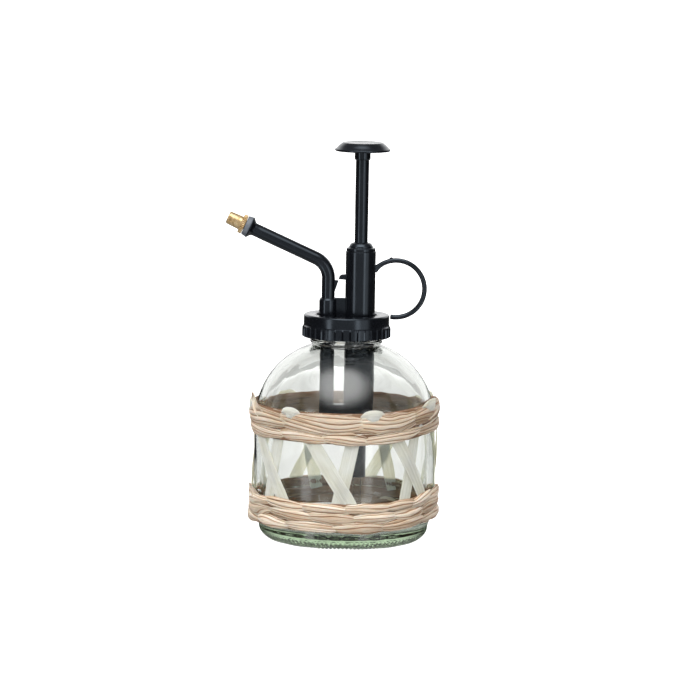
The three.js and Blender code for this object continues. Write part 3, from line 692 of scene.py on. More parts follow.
def spindle(name, seed, span, heights, half, bounds, folds, fold_height, blunt):
    """A bundle of raffia between two pinches. span is its two angles, heights the z of its two
    ends, bounds its inner and outer radius, blunt how much of it is left at a pinch."""
    rng = np.random.default_rng(seed)
    start, end = np.radians(span)
    steps = int(24 + 46 * (end - start))
    sides = 84 if half > 3 * MM else 54
    t = np.linspace(0, 1, steps)
    swell = blunt + (1 - blunt) * np.sin(math.pi * np.clip(t, 0.004, 0.996)) ** 0.62
    theta = start + (end - start) * t
    inner, outer = bounds
    thick = outer - inner
    z = heights[0] + (heights[1] - heights[0]) * t + wrap_rise(theta)
    z = z + wander(t * 6, rng, (1, 2), 0.22 * MM)
    half_height = half * swell * (1 + wander(t * 9, rng, (2, 3, 5), 0.05))
    full = np.clip(swell * 1.25 - 0.2, 0.05, 1)
    half_thick = thick * (0.13 + 0.31 * full)
    radius = inner + thick * (0.15 + 0.4 * full) + glass_radius(z) * 0.7
    v = full_turn(sides)
    v = v - 0.4 * np.sin(v)
    run = theta * 5.5 + seed
    lift, tint, shape, across = fold_profile(v, run, folds, rng)
    lift = fold_height * lift * (0.35 + 0.65 * swell[:, None])
    lift = lift + 0.05 * MM * np.sin(across * folds * 29 + run[:, None] * 3)
    a, b = half_height[:, None], half_thick[:, None]
    sin_v, cos_v = np.sin(v)[None], np.cos(v)[None]
    normal = unit(np.stack([sin_v / a, cos_v / b], axis=-1))
    section = np.stack([a * sin_v, b * cos_v], axis=-1) + normal * lift[..., None]
    up = np.tile([0.0, 0.0, 1.0], (steps, 1))
    strand = loft(name, on_bottle(theta, radius, z), up, on_bottle(theta, 1.0, 0.0), section)
    length = theta[:, None] * BODY_R + 0 * v[None]
    fibre = np.stack([length, across * 14 * MM, 0 * length + seed], -1)
    # painted shade for the creases: the value falls to 0 at each fold's edge, lower still at the pinches
    # (dive) and on the top and bottom of the bundle (rim), where the rows meet
    dive = np.clip(full * 1.1, 0, 1)[:, None] ** 0.6
    rim = np.clip(1.25 * np.abs(cos_v) + 0.35, 0, 1)
    crease_shade = np.clip(shape ** 2 * 1.2, 0, 1) * (0.4 + 0.6 * dive) * rim
    tone = rng.uniform(0, 0.55)
    store_fibre(strand, fibre, crease_shade, np.clip(0.6 * tint + tone, 0, 1))
    return strand


def joined(name, parts):
    """Joins several objects' meshes, with what they store, into one."""
    with bpy.context.temp_override(active_object=parts[0], selected_editable_objects=parts):
        bpy.ops.object.join()
    parts[0].name = parts[0].data.name = name
    return parts[0]


def cord_row(node, front, half, folds, fold_height, blunt, seed):
    """A row of overlapping bundles round the bottle, in a CAD cord's place. front lists the ones
    that lie across the front as (start, end, z of the start, z of the end); the rest are spread
    round the back."""
    rng = np.random.default_rng(seed)
    bottom, top = low(node).z / MM, high(node).z / MM
    centre = (bottom + top) / 2
    rows = list(front)
    at = front[-1][1] - 7
    last = front[0][0] + 360 + 7
    count = max(1, round((last - at) / 46))
    for k in range(count):
        width = (last - at) / count
        tilt = rng.uniform(-1.0, 1.0)
        rows.append((at + width * k - 4, at + width * (k + 1) + 6, centre + tilt, centre - tilt))
    bounds = (BODY_R + RAFFIA_GAP, high(node).x + 0.6 * MM)
    strands = []
    for k, (start, end, z0, z1) in enumerate(rows):
        size = half * rng.uniform(0.92, 1.08) * MM
        strands.append(spindle(f"{node}_{k}", seed * 100 + k, (start, end), (z0 * MM, z1 * MM),
                               size, bounds, folds, fold_height * MM, blunt))
    core = full_turn(180)
    z = centre * MM + wrap_rise(core)
    v = full_turn(24)
    depth = 0.3 * (bounds[1] - bounds[0])
    section = np.stack([0.53 * (top - bottom) * MM * np.sin(v), depth * np.cos(v)], -1)
    section = np.broadcast_to(section, (len(core), *section.shape))
    path = on_bottle(core, bounds[0] + depth + glass_radius(z) * 0.7, z)
    ring = loft(f"{node}_core", path, np.tile([0.0, 0.0, 1.0], (len(core), 1)),
                on_bottle(core, 1.0, 0.0), section, closed=True)
    place = np.stack(np.broadcast_arrays(core[:, None] * BODY_R, v[None] * 2 * MM, 0.0), -1)
    # painted shade: the core lies deep among the bundles, and its low shade value darkens it all over
    store_fibre(ring, place, 0.16, 0.3)
    row = joined(f"raffia_{node}", [ring] + strands)
    piece(smooth(row, 70), "bottle", "raffia", node)


def raffia_rows():
    """The two wraps: a thick bundle over a cord above, three cords below."""
    cord_row("upper_bundle", [
        (-104, -36, 64.6, 64.0), (-45, 15, 64.6, 63.8), (6, 51, 63.7, 64.6),
        (43, 101, 64.4, 65.4)], 5.0, 13, 0.5, 0.5, 3)
    cord_row("upper_cord", [
        (-92, -36, 57.8, 56.8), (-46, -7, 58.4, 56.2), (-18, 18, 57.8, 56.0),
        (8, 57, 55.8, 58.0), (48, 98, 56.8, 58.2)], 3.0, 9, 0.4, 0.2, 4)
    cord_row("lower_cord_3", [
        (-92, -47, 21.2, 23.0), (-58, -20, 23.4, 21.6), (-30, 6, 22.8, 21.2), (-4, 34, 21.8, 22.4),
        (24, 52, 22.6, 22.2), (42, 70, 21.0, 24.0), (60, 96, 21.4, 24.0)], 2.8, 8, 0.4, 0.2, 5)
    cord_row("lower_cord_2", [
        (-97, -46, 16.4, 18.4), (-53, -14, 18.6, 16.8), (-26, 12, 18.4, 16.6), (2, 38, 17.2, 17.6),
        (28, 60, 18.2, 17.0), (50, 92, 16.6, 18.6)], 2.9, 8, 0.4, 0.2, 6)
    cord_row("lower_cord_1", [
        (-101, -60, 12.8, 12.6), (-68, -32, 13.6, 12.4), (-42, 0, 13.4, 12.2),
        (-10, 30, 13.0, 12.4), (18, 61, 13.0, 13.0), (53, 101, 12.2, 13.6)], 2.8, 8, 0.4, 0.2, 7)


HAIRS = 90
HAIR_LENGTH = 5, 17                    # mm
HAIR_R = 0.11, 0.03                    # mm, at its root and its end


def loose_fibres():
    """Short hairs that stand off the cords."""
    rng = np.random.default_rng(11)
    bm = bmesh.new()
    nodes = ["lower_cord_1", "lower_cord_3", "upper_cord", "upper_bundle", "upper_bundle"]
    for _ in range(HAIRS):
        node = nodes[rng.integers(len(nodes))]
        theta = rng.uniform(0, TAU)
        edge = rng.choice([low(node).z, high(node).z])
        length = rng.uniform(*HAIR_LENGTH) * MM
        lift, climb = rng.uniform(0.1, 1.1) * MM, rng.normal() * 1.3 * MM
        t = np.linspace(0, 1, 9)
        angle = theta + t * length / BODY_R * rng.choice([-1, 1])
        bow = np.sin(t * math.pi * rng.uniform(0.6, 1.1))
        radius = high(node).x - 0.5 * MM + lift * bow
        path = on_bottle(angle, radius, edge + wrap_rise(angle) + climb * t ** 1.5)
        hair = sweep("hair", path, np.linspace(*HAIR_R, len(t)) * MM, (0, 0, 1), 5)
        bm.from_mesh(hair.data)
        bpy.data.objects.remove(hair)
    hairs = link_bmesh("loose_fibres", bm)
    store_fibre(hairs, np.array([v.co for v in hairs.data.vertices]), 1.0, 0.85)
    piece(smooth(hairs, 80), "bottle", "raffia")


def raffia_tail(name, points, width, seed):
    """A cut end of raffia that sticks up out of the wrap. points are (degrees, radius, z) in mm."""
    rng = np.random.default_rng(seed)
    steps, half = 46, 9
    path = through(points, steps)
    theta = np.radians(path[:, 0])
    centre = on_bottle(theta, path[:, 1] * MM, path[:, 2] * MM)
    t = np.linspace(0, 1, steps)[:, None]
    side = np.linspace(-1, 1, half)[None]
    taper = width * MM / 2 * np.clip(1.05 - t ** 2.2, 0.06, 1)
    curl = 0.28 * taper * (side ** 2 - 0.4) * (1 + t)
    pleat = 0.14 * MM * np.sin(side * 9 + rng.uniform(0, TAU) + 3 * t)
    tail, fibre = flat_strand(
        name, centre, theta, side * taper, curl + pleat, TAIL_THICK, 0.97, t * 0.05, seed)
    store_fibre(tail, fibre, 0.8, 0.35 + 0.3 * rng.random())
    piece(smooth(tail, 70), "bottle", "raffia")


# ---- palm strips ----
STRIP_WIDTH = 7 * MM
STRIP_THICK = 0.32 * MM


def node_angle(node, at_top):
    """The angle, from the front towards +X, of a strip's middle at its top or bottom edge."""
    co = np.array([v.co for v in frame["nodes"][node].data.vertices])
    z = co[:, 2]
    edge = co[z > z.max() - 1 * MM] if at_top else co[z < z.min() + 1 * MM]
    x, y = edge[:, :2].mean(0)
    return math.degrees(math.atan2(x, -y))


def palm_ribbon(number):
    """One strip: up behind the upper wrap, folded over its top, and down in front."""
    rng = np.random.default_rng(200 + number)
    counter, slant = f"counter_strip_{number}", f"slant_strip_{number % 7 + 1}"
    up_low, up_high = node_angle(counter, False), node_angle(counter, True)
    down_high, down_low = node_angle(slant, True), node_angle(slant, False)
    while down_high < up_high:
        down_high, down_low = down_high + 360, down_low + 360
    if down_low < down_high:
        down_low += 360
    if up_low > up_high:
        up_low -= 360
    bottom, top = low(counter).z / MM, high(counter).z / MM
    wrap_top = high("upper_bundle").z / MM
    body = BODY_R / MM
    under, over = body + 0.3, body + 1.0
    span = down_high - up_high
    peak = wrap_top + rng.uniform(-1.3, -0.7)
    fold = [(0.04, 0.9, top + 3), (0.13, 0.9, peak - 6), (0.22, 1.2, peak - 2.2), (0.32, 2.4, peak),
            (0.52, 2.5, peak - 0.2), (0.64, 1.1, peak - 3), (0.8, 0.9, peak - 8)]
    points = [
        (up_low - 1.5, under, bottom - 6), (up_low, under, bottom),
        ((up_low + up_high) / 2, under, (bottom + top) / 2), (up_high, under, top),
        *[(up_high + share * span, body + lift, z) for share, lift, z in fold],
        (down_high - 2, body + 0.9, top + 3),
        (down_high, over, top), ((down_high + down_low) / 2, over + 0.15, (top + bottom) / 2),
        (down_low, over, bottom), (down_low + 2.5, body + 0.8, bottom - 5),
    ]
    steps, half = 150, 26
    path = through(points, steps)
    theta = np.radians(path[:, 0])
    z = path[:, 2] * MM + wrap_rise(theta) * np.clip((path[:, 2] - bottom) / (top - bottom), 0.3, 1)
    centre = on_bottle(theta, path[:, 1] * MM, z)
    t = np.linspace(0, 1, steps)[:, None]
    side = np.linspace(-1, 1, half)[None]
    width = STRIP_WIDTH / 2 * (1 + 0.05 * np.sin(t * 9 + number) + 0.03 * np.sin(t * 37 + number))
    hidden = np.clip((path[:, 2] - top - 3) / 6, 0, 1)[:, None]
    width = width * (1 - 0.2 * hidden)
    ridge = rng.normal(0, 0.045, half)[None] + 0.02 * np.sin(side * 40 + t * 30)
    bowed = 0.16 * (1 - side ** 2) + 0.07 * np.sin(side * 5 + number) * np.sin(t * 11)
    run = np.concatenate([[0], np.cumsum(np.linalg.norm(np.diff(centre, axis=0), axis=1))])
    strip, fibre = flat_strand(
        f"palm_strip_{number}", centre, theta, side * width, (bowed + ridge) * MM, STRIP_THICK,
        0.985, run[:, None], number * 0.37)
    store(strip, "fibre", fibre.reshape(-1, 3))
    piece(smooth(strip, 60), "bottle", "palm_strip", counter, slant)


# ---- pump ----
EDGE = 0.25 * MM
FLANGE_R = 16.6 * MM
SOCKET_R = 4.4 * MM
SOCKET_TOP = 121.4 * MM
RISER_BORE_R = 2 * MM
RING_R = 14.25 * MM                    # the finger ring, to the middle of its section
RING_SPAN = 141, -100.6                # degrees, from its root on the barrel to its free end
NUB_ANGLE = 100
ROD_R = 3.3 * MM


def tube_profile(inner, outer, z0, z1):
    return [(inner, z0), (outer, z0), (outer, z1), (inner, z1), (inner, z0)]


def rod_profile(radius, z0, z1):
    return [(0, z0), (radius, z0), (radius, z1), (0, z1)]


def pump_body():
    bottom, top = low("pump_body").z, high("pump_body").z
    flange_z = high("neck_gasket").z + 0.3 * MM
    flange_top = flange_z + 1.6 * MM
    body = revolve("pump_body_moulding", rounded(rod_profile(BARREL_R, bottom, top), EDGE), 96, PUMP_X)
    flange = revolve("flange", rounded(rod_profile(FLANGE_R, flange_z, flange_top), EDGE), 96)
    riser = revolve("riser", rod_profile(RISER_R, bottom, flange_top), 64, RISER_X)
    socket = revolve("socket", rounded([
        (0, flange_z), (SOCKET_R, flange_z), (SOCKET_R, SOCKET_TOP - 0.9 * MM),
        (SOCKET_R - 0.5 * MM, SOCKET_TOP), (0, SOCKET_TOP)], 0.2 * MM), 64, RISER_X)
    web = block("web", RISER_X, PUMP_X, flange_top - 0.5 * MM, SOCKET_TOP + 0.2 * MM, 2.4 * MM, 0.2 * MM)
    tab = prism("tab", mm([
        (0.6, 130.7), (0.6, 133.4), (-1.9, 133.3), (-3.0, 132.5), (-3.4, 130.9)],
        PUMP_X - BARREL_R), 3 * MM, EDGE)
    for other in (flange, riser, socket, web, tab):
        combine(body, other, "UNION")
    for radius, z0, z1, x in (
            (BARREL_R - 1.3 * MM, bottom - MM, top + MM, PUMP_X),
            (RISER_BORE_R, bottom - MM, 112 * MM, RISER_X),
            (2.9 * MM, 111.5 * MM, 118 * MM, RISER_X), (3.45 * MM, 117.2 * MM, 123 * MM, RISER_X)):
        combine(body, revolve("bore", rod_profile(radius, z0, z1), 64, x), "DIFFERENCE")
    piece(smooth(body, 32), "pump", "black_plastic", "pump_body")


def finger_ring():
    bottom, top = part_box("finger_ring")
    section = (top.y - bottom.y) / 2
    centre = Vector((top.x - section - RING_R, 0, bottom.z + section + RING_R))
    a = np.radians(np.linspace(*RING_SPAN, 150))
    path = np.stack([centre.x + RING_R * np.cos(a), 0 * a, centre.z + RING_R * np.sin(a)], -1)
    t = np.linspace(0, 1, len(a))
    radius = section * (1 + 0.35 * np.exp(-(t / 0.045) ** 2) - 0.25 * np.exp(-((1 - t) / 0.004) ** 2))
    ring = sweep("finger_ring_moulding", path, radius, (0, 1, 0), 28)
    nub = revolve("nub", rounded(mm([(0, -1), (0.85, -1), (0.85, 0.55), (0, 0.55)]), 0.3 * MM), 24)
    up = Vector((math.cos(math.radians(NUB_ANGLE)), 0, math.sin(math.radians(NUB_ANGLE))))
    lean = Matrix.Rotation(math.radians(90 - NUB_ANGLE), 4, "Y")
    nub.data.transform(Matrix.Translation(centre + up * (RING_R + section)) @ lean)
    combine(ring, nub, "UNION")
    piece(smooth(ring, 40), "pump", "black_plastic", "finger_ring")


def gland_nut():
    bottom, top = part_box("gland_nut")
    rim = top.x - PUMP_X
    seat = high("pump_body").z
    shank, bore = 6.05 * MM, ROD_R + 0.06 * MM
    profile = rounded([
        (bore, bottom.z), (shank, bottom.z), (shank, seat + 0.1 * MM), (rim, seat + 0.1 * MM),
        (rim, seat + 1.5 * MM), (rim - 0.5 * MM, seat + 1.75 * MM), *mm([(6.0, 1.75), (5.9, 2.6)], z=seat),
        (5.2 * MM, top.z - 0.5 * MM), (4.4 * MM, top.z), (bore + 0.4 * MM, top.z),
        (bore, top.z - 0.4 * MM), (bore, bottom.z)], 0.3 * MM)
    piece(smooth(revolve("gland", profile, 96, PUMP_X), 32), "pump", "black_plastic", "gland_nut")


def foot_block():
    bottom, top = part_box("foot_block")
    end = top.z + 0.3 * MM
    body = revolve("foot", rounded(rod_profile(BARREL_R, bottom.z, end), EDGE), 96, PUMP_X)
    riser = revolve("foot_riser", rounded(rod_profile(RISER_R, bottom.z, end), EDGE), 64, RISER_X)
    web = block("foot_web", RISER_X, PUMP_X, bottom.z, top.z, 2 * RISER_R * 0.98, 0.2 * MM)
    combine(body, riser, "UNION")
    combine(body, web, "UNION")
    for radius, z0, x in ((1.6 * MM, bottom.z - MM, PUMP_X), (4.5 * MM, 65 * MM, PUMP_X),
                          (RISER_BORE_R, 65 * MM, RISER_X)):
        combine(body, revolve("bore", rod_profile(radius, z0, top.z + MM), 48, x), "DIFFERENCE")
    piece(smooth(body, 32), "pump", "black_plastic", "foot_block")


def tubes():
    for node, slot, name, wall in (("tail_tube", "black_plastic", "tail", 1.45 * MM),
                                   ("dip_tube", "clear_tube", "dip", 0.8 * MM)):
        bottom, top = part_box(node)
        outer = top.x - PUMP_X
        profile = rounded(tube_profile(outer - wall, outer, bottom.z, top.z), EDGE)
        piece(smooth(revolve(f"{name}_moulding", profile, 64, PUMP_X)), "pump", slot, node)


def inner_rings():
    """Seals of the rod, the piston and the neck, and the valve cage, each turned with the CAD's own box."""
    low_cage, high_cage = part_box("valve_cage")
    outer = high_cage.x - PUMP_X
    cage = revolve("cage", rounded([
        (outer - 0.9 * MM, low_cage.z), (outer, low_cage.z), (outer, high_cage.z),
        (1.4 * MM, high_cage.z), (1.4 * MM, high_cage.z - MM), (outer - 0.9 * MM, high_cage.z - MM),
        (outer - 0.9 * MM, low_cage.z)], 0.2 * MM), 64, PUMP_X)
    piece(smooth(cage), "pump", "natural_plastic", "valve_cage")
    for node, inner, body in (("rod_seal", ROD_R + 0.2 * MM, "pump"), ("piston_seal", 4.8 * MM, "plunger")):
        bottom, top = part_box(node)
        outer = top.x - PUMP_X
        mid, half = (inner + outer) / 2, (outer - inner) / 2
        ring = revolve(f"{node}_moulding", arc(
            mid, (bottom.z + top.z) / 2, half, (top.z - bottom.z) / 2, 0, 360, 24), 64, PUMP_X)
        piece(smooth(ring, 60), body, "seal_rubber", node)
    bottom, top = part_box("neck_gasket")
    gasket = revolve("gasket", rounded(
        tube_profile(15 * MM, top.x, bottom.z - 0.2 * MM, top.z + 0.2 * MM), 0.2 * MM), 96)
    piece(smooth(gasket), "pump", "seal_rubber", "neck_gasket")


def return_spring():
    bottom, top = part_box("return_spring")
    wire = 0.45 * MM
    coil_r = (top.y - bottom.y) / 2 - wire
    turns = 9
    t = np.linspace(0, 1, turns * 40)
    dead = 0.1                         # the share of the wire in the close coils at each end
    rise = np.clip((t - dead) / (1 - 2 * dead), 0, 1)
    rise = rise + 0.012 * np.sin(t * TAU)
    a = t * turns * TAU
    z = bottom.z + wire + rise * (top.z - bottom.z - 2 * wire)
    path = np.stack([PUMP_X + coil_r * np.cos(a), coil_r * np.sin(a), z], -1)
    spring = sweep("spring_coil", path, wire, (0, 0, 1), 12)
    piece(smooth(spring, 60), "pump", "steel", "return_spring")
    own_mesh(spring)


def valve_balls():
    for node, body in (("inlet_ball", "inlet_valve"), ("outlet_ball", "outlet_valve")):
        bottom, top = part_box(node)
        centre, radius = (bottom + top) / 2, (top.z - bottom.z) / 2
        profile = arc(0, centre.z, radius, radius, -90, 90, 24)
        profile[0], profile[-1] = (0, centre.z - radius), (0, centre.z + radius)
        ball = revolve(f"{node}_ground", profile, 48, centre.x)
        piece(smooth(ball, 60), body, "steel", node)


# ---- spout and nozzle ----
SPOUT_R = 3.3 * MM
TIP_BORE = 2.55                        # mm, the washer's and the cap's bore
BEND_R = 11 * MM


def spout_path():
    rise = math.atan2(ARM_DIR.z, -ARM_DIR.x)
    reach = (ARM_END.x - RISER_X) / ARM_DIR.x
    corner = ARM_END - ARM_DIR * reach
    turn = math.pi / 2 - rise
    lead = BEND_R * math.tan(turn / 2)
    foot = low("spout_tube").z
    bend_z = corner.z - lead
    upright = [(RISER_X, 0, z) for z in np.linspace(foot, bend_z, 14)[:-1]]
    bend = [(RISER_X - BEND_R * (1 - math.cos(a)), 0, bend_z + BEND_R * math.sin(a))
            for a in np.linspace(0, turn, 40)]
    start = corner + ARM_DIR * lead
    arm = [tuple(start.lerp(ARM_END, t)) for t in np.linspace(0, 1, 30)[1:-2]]
    return upright + bend + arm


def on_arm(name, points, edge, segments=96, steps=4, relief=None):
    """Turns a [radius, z] profile in mm about the spout's arm, with z from the arm's end."""
    made = revolve(name, rounded(mm(points), edge, steps), segments, relief=relief)
    turn = Vector((0, 0, 1)).rotation_difference(ARM_DIR).to_matrix().to_4x4()
    made.data.transform(Matrix.Translation(ARM_END) @ turn)
    return made


def spout():
    tube = sweep("spout_moulding", spout_path(), SPOUT_R, (0, 1, 0), 48)
    r = SPOUT_R / MM
    flare = on_arm("flare", [
        (0, -4), (r, -4), (r + 0.02, -2.4), (r + 0.5, -1.7), (5.45, -0.45), (5.55, 0), (2.4, 0),
        (2.4, 6), (0, 6)], 0.2 * MM)
    combine(tube, flare, "UNION")
    fin = prism("fin", mm([
        (-0.7, 124.2), (0, 124.6), (1.6, 129.6), (1.7, 130.3), (-0.7, 130.5)], RISER_X + SPOUT_R),
        1.7 * MM, 0.2 * MM)
    combine(tube, fin, "UNION")
    piece(smooth(tube, 32), "pump", "black_plastic", "spout_tube")
    washer = on_arm("washer", [
        (TIP_BORE, 0.05), (5.3, 0.05), (5.3, 0.5), (4.95, 2.5), (TIP_BORE, 2.5), (TIP_BORE, 0.05)],
        0.12 * MM)
    piece(smooth(washer, 32), "pump", "grey_plastic", "nozzle_washer")


KNURL_TEETH = 30
KNURL_R, KNURL_END = 4.95, 4.75        # mm, the toothed ring's radius and its far end
TIP_Z = 12                             # mm, the brass cap's tip, from the arm's end
ORIFICE_R = 0.45                       # mm


def nozzle():
    def teeth(angle, radius, z):
        on_ring = (radius > 4.3 * MM) & (z > 2.75 * MM) & (z < 4.65 * MM)
        return 0.5 * MM * (np.abs(np.sin(angle * KNURL_TEETH / 2)) ** 0.7 - 1) * on_ring, 0
    cap = on_arm("brass_cap", [
        (TIP_BORE, 2.7), (KNURL_R - 0.3, 2.7), (KNURL_R, 2.95), (KNURL_R, 3.5), (KNURL_R, 4.1),
        (KNURL_R, 4.5), (KNURL_R - 0.3, KNURL_END), (3.65, 4.8), (3.5, 5.0), (3.45, 7.2),
        (3.25, 11.3), (2.95, TIP_Z - 0.15), (2.5, TIP_Z), (1.6, TIP_Z), (1.3, 11.5),
        (ORIFICE_R, 11.0), (ORIFICE_R, 10.4), (2.3, 9.5), (TIP_BORE, 9.2), (TIP_BORE, 2.7)],
        0.12 * MM, KNURL_TEETH * 12, 3, teeth)
    piece(smooth(cap, 32), "nozzle", "brass", "nozzle_cap")
    core = on_arm("swirl", [
        (0, 6.3), (1.9, 6.3), (2.2, 6.7), (2.2, 8.3), (1.2, 8.9), (0, 8.9)], 0.1 * MM, 48)
    piece(smooth(core, 32), "nozzle", "brass", "swirl_core")


# ---- collar ----
RIBS = 36


def screw_collar():
    bottom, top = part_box("screw_collar")
    rib_r = top.x
    skirt_r, cap_r = 21.65 * MM, 21.35 * MM
    rib_top = bottom.z + 5.4 * MM
    bore, hole = 18.5 * MM, 15 * MM
    plate_z = top.z - 1.5 * MM

    def ribs(angle, radius, z):
        on_skirt = (radius > skirt_r - 0.3 * MM) & (z > bottom.z + 0.3 * MM)
        fade = np.clip((rib_top - z) / (0.8 * MM), 0, 1)
        crest = np.exp(-((((angle * RIBS / TAU) % 1) - 0.5) / 0.07) ** 4)
        return (rib_r - skirt_r) * crest * fade * on_skirt, 0

    side = [(skirt_r, z) for z in np.linspace(bottom.z + 0.4 * MM, rib_top, 14)]
    profile = [
        (bore, bottom.z + 0.3 * MM), (bore + 0.3 * MM, bottom.z), (skirt_r - 0.4 * MM, bottom.z),
        *side, (cap_r + 0.12 * MM, rib_top + 0.35 * MM), (cap_r, rib_top + 0.8 * MM),
        (cap_r, rib_top + 2 * MM), (cap_r, plate_z),
        *arc(cap_r - MM, top.z - MM, MM, MM, 0, 90, 10),
        (cap_r - 3 * MM, top.z), (hole + 0.5 * MM, top.z), (hole + 0.15 * MM, top.z - 0.15 * MM),
        (hole, top.z - 0.5 * MM), (hole, plate_z), (bore, plate_z), (bore, bottom.z + 0.3 * MM)]
    collar = revolve("collar", profile, RIBS * 16, relief=ribs)
    piece(smooth(collar, 40), "collar", "black_plastic", "screw_collar")


# ---- plunger ----
def plunger():
    bottom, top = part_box("push_button")
    rim = top.x - PUMP_X
    rim_z = bottom.z + 4.4 * MM
    sleeve_r = 3.95 * MM
    bore = ROD_R + 0.03 * MM
    profile = [
        *mm([(0, -0.45), (6, -0.4), (9, -0.12)], z=top.z),
        *arc(9.6 * MM, top.z - 0.55 * MM, 0.9 * MM, 0.55 * MM, 90, 40, 5),
        (12.1 * MM, top.z - 1.75 * MM), (rim - 0.55 * MM, rim_z + 1.3 * MM),
        *arc(rim - 0.55 * MM, rim_z + 0.65 * MM, 0.55 * MM, 0.65 * MM, 50, -90, 9),
        (rim - 1.2 * MM, rim_z + 0.05 * MM), (rim - 1.6 * MM, rim_z + 1.1 * MM),
        (6 * MM, top.z - 2.8 * MM), (sleeve_r + 0.5 * MM, top.z - 2.9 * MM),
        (sleeve_r, top.z - 3.4 * MM), (sleeve_r, bottom.z + 0.5 * MM),
        (sleeve_r - 0.35 * MM, bottom.z), (bore, bottom.z), (bore, high("plunger_rod").z + 0.2 * MM),
        (0, high("plunger_rod").z + 0.2 * MM)]
    piece(smooth(revolve("button", profile, 128, PUMP_X), 32), "plunger", "black_plastic", "push_button")
    foot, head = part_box("plunger_rod")
    shoulder = high("piston").z + 0.3 * MM
    rod = revolve("rod", rounded([
        (0, foot.z), (2 * MM, foot.z), (2 * MM, shoulder), (ROD_R, shoulder), (ROD_R, head.z),
        (0, head.z)], 0.2 * MM), 64, PUMP_X)
    piece(smooth(rod, 32), "plunger", "black_plastic", "plunger_rod")
    foot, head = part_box("piston")
    r = head.x - PUMP_X
    z = foot.z
    body = revolve("piston_moulding", rounded([
        (0, z), (r, z), (r, z + 4 * MM), (4.6 * MM, z + 4 * MM), (4.6 * MM, z + 7.5 * MM),
        (r, z + 7.5 * MM), (r, head.z), (2.15 * MM, head.z), (2.15 * MM, z + 2.7 * MM),
        (0, z + 2.7 * MM)], 0.2 * MM), 64, PUMP_X)
    piece(smooth(body, 32), "plunger", "natural_plastic", "piston")


# ---- studio ----
def floor():
    sheet = revolve("floor", rounded([(0, -0.02), (14, -0.02), (14, 0), (0, 0)], 0.002), 96)
    sheet.data.materials.append(material("floor_paint", floor_paint))
    sheet.visible_glossy = False


def sums(tree, *terms):
    """Adds up products. Each term is a list of sockets and numbers to multiply."""
    total = None
    for term in terms:
        part = term[0]
        for factor in term[1:]:
            part = maths(tree, "MULTIPLY", part, factor)
        total = part if total is None else maths(tree, "ADD", total, part)
    return total


def step(tree, value, start, end):
    """0 below start and 1 above end, or the other way round if start is the larger."""
    flipped = start > end
    return add(tree, "ShaderNodeMapRange", {
        "Value": value, "From Min": min(start, end), "From Max": max(start, end),
        "To Min": float(flipped), "To Max": float(not flipped)},
        interpolation_type="SMOOTHSTEP").outputs["Result"]


def near(tree, value, centre, half, soft):
    """1 where value is within half of centre, falling to 0 over soft."""
    away = maths(tree, "ABSOLUTE", maths(tree, "SUBTRACT", value, centre))
    return step(tree, away, half + soft, half)


def degrees_to(tree, across, ahead):
    return maths(tree, "MULTIPLY", maths(tree, "ARCTAN2", across, ahead), 180 / math.pi)


# Soft panels in front: where each stands, in degrees from the front towards +X, its half width,
# the width of its soft edge, and its brightness.
PANELS = ((-48, 3, 6, 2.6), (31, 2.5, 5, 1.8), (42, 15, 8, 0.6), (4, 48, 22, 0.42))
OVERHEAD = (-0.06, -0.46, 0.886)       # towards the panel overhead
OVERHEAD_LIGHT = 4.3
WALL_OUTSIDE = 1.4                     # the wall behind, for rays that haven't gone through glass
WALL_IN_GLASS = 0.86                   # and for those that have
LOW_LIGHT, HIGH_LIGHT, DARKEST = 0.35, 0.2, 0.04


def world():
    """A dark room with a white wall behind, tall soft panels in front and one overhead. Seen
    straight on it is plain white."""
    made = bpy.data.worlds.new("studio")
    bpy.context.scene.world = made
    made.use_nodes = True
    tree = made.node_tree
    tree.nodes.clear()
    aim = add(tree, "ShaderNodeTexCoord").outputs["Generated"]
    x, y, z = add(tree, "ShaderNodeSeparateXYZ", {"Vector": aim}).outputs
    front, behind = degrees_to(tree, x, maths(tree, "MULTIPLY", y, -1.0)), degrees_to(tree, x, y)
    tall = sums(tree, [step(tree, z, -0.75, -0.5), step(tree, z, 0.45, 0.2)])
    panels = [[near(tree, front, at, half, soft), tall, light] for at, half, soft, light in PANELS]
    above = add(tree, "ShaderNodeVectorMath", {0: aim, 1: OVERHEAD}, operation="DOT_PRODUCT")
    above = step(tree, above.outputs["Value"], 0.7, 1.0)
    upper_wall = sums(tree, [near(tree, behind, 0, 40, 30), step(tree, z, 0.01, 0.06),
                             step(tree, z, 0.7, 0.4)])
    whole_wall = sums(tree, [near(tree, behind, 0, 24, 50), step(tree, z, 0.9, 0.3)])
    path = add(tree, "ShaderNodeLightPath").outputs
    in_glass = path["Is Transmission Ray"]
    total = sums(tree, *panels, [above, above, OVERHEAD_LIGHT],
                 [upper_wall, step(tree, in_glass, 1.0, 0.0), WALL_OUTSIDE],
                 [whole_wall, in_glass, WALL_IN_GLASS],
                 [step(tree, z, -0.3, -0.6), LOW_LIGHT], [step(tree, z, 0.2, 0.8), HIGH_LIGHT])
    total = maths(tree, "ADD", total, DARKEST)
    strength = add(tree, "ShaderNodeMix", {0: path["Is Camera Ray"], 2: total, 3: 1.0},
                   data_type="FLOAT").outputs[0]
    sky = add(tree, "ShaderNodeBackground", {"Color": (1, 1, 1, 1), "Strength": strength})
    add(tree, "ShaderNodeOutputWorld", {"Surface": sky.outputs[0]})


LAMP_AIM = (0, 0, 0.07)
LAMPS = {                              # place, size and power
    "key": ((-1.2, -1.5, 1.0), (0.6, 0.6), 3),
    "fill": ((1.3, -1.4, 0.4), (1.0, 0.8), 2.8),
    "rim_left": ((-1.4, 0.5, 0.6), (0.8, 1.0), 3.5),
    "rim_right": ((1.4, 0.5, 0.6), (0.8, 1.0), 3.5),
    "wall_glow": ((0, 1.6, 0.4), (2.0, 0.8), 16),
}
SUN_PLACE = (-0.55, -0.9, 1.05)
SUN_POWER = 1.15
SUN_WIDTH = math.radians(16)


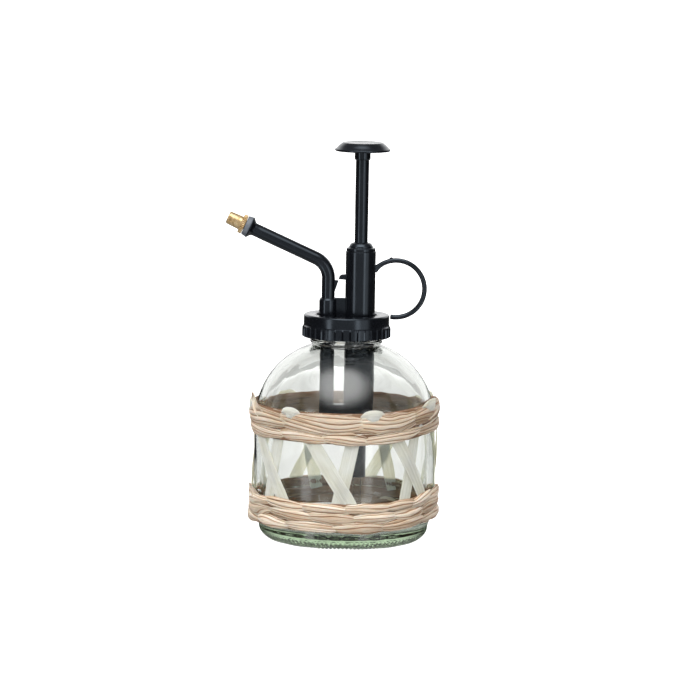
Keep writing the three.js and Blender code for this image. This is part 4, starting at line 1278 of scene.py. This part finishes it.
def place_lamp(name, data, place, aim):
    made = bpy.data.objects.new(name, data)
    bpy.context.scene.collection.objects.link(made)
    made.location = place
    made.rotation_euler = (Vector(aim) - Vector(place)).to_track_quat("-Z", "Y").to_euler()
    made.visible_glossy = False
    made.visible_transmission = False


def lights():
    for name, (place, size, power) in LAMPS.items():
        data = bpy.data.lights.new(name, "AREA")
        data.shape = "RECTANGLE"
        data.size, data.size_y = size
        data.energy = power
        place_lamp(name, data, place, LAMP_AIM)
    sun = bpy.data.lights.new("sun", "SUN")
    sun.energy = SUN_POWER
    sun.angle = SUN_WIDTH
    place_lamp("sun", sun, SUN_PLACE, (0, 0, 0))


CAMERA_DISTANCE = 2.2
CAMERA_RISE = math.radians(7.28)
CAMERA_ROLL = math.radians(1.0)
AIM = Vector((-0.00055, 0, 0.0978))
LENS_MM = 231.4


def camera():
    data = bpy.data.cameras.new("camera")
    data.lens = LENS_MM
    data.sensor_width = 36
    data.clip_end = 60
    made = bpy.data.objects.new("camera", data)
    bpy.context.scene.collection.objects.link(made)
    made.location = AIM + Vector((0, -CAMERA_DISTANCE, CAMERA_DISTANCE * math.tan(CAMERA_RISE)))
    look = (AIM - made.location).to_track_quat("-Z", "Y").to_matrix()
    made.rotation_euler = (look @ Matrix.Rotation(CAMERA_ROLL, 3, "Z")).to_euler()
    bpy.context.scene.camera = made


# ---- make it ----
bpy.context.scene.view_settings.view_transform = "Standard"
camera()
world()
lights()
floor()

glass_bottle()
raffia_rows()
loose_fibres()
raffia_tail("raffia_end_left", [
    (-60, 47.4, 65), (-68, 47.6, 69), (-77, 46.6, 72.2), (-86, 46.2, 71.6), (-92, 46.9, 67.5)], 5.5, 1)
raffia_tail("raffia_end_low", [
    (-62, 47.4, 23), (-70, 47.6, 25.5), (-79, 47.2, 27), (-88, 47, 25.6), (-96, 47, 22)], 4.5, 2)
raffia_tail("raffia_end_right", [
    (60, 47.2, 66), (70, 47.5, 68.3), (82, 47.2, 69), (94, 47, 66.5)], 4.5, 4)
for strip_number in range(1, 8):
    palm_ribbon(strip_number)

pump_body()
finger_ring()
gland_nut()
foot_block()
tubes()
inner_rings()
return_spring()
valve_balls()
spout()
nozzle()
screw_collar()
plunger()
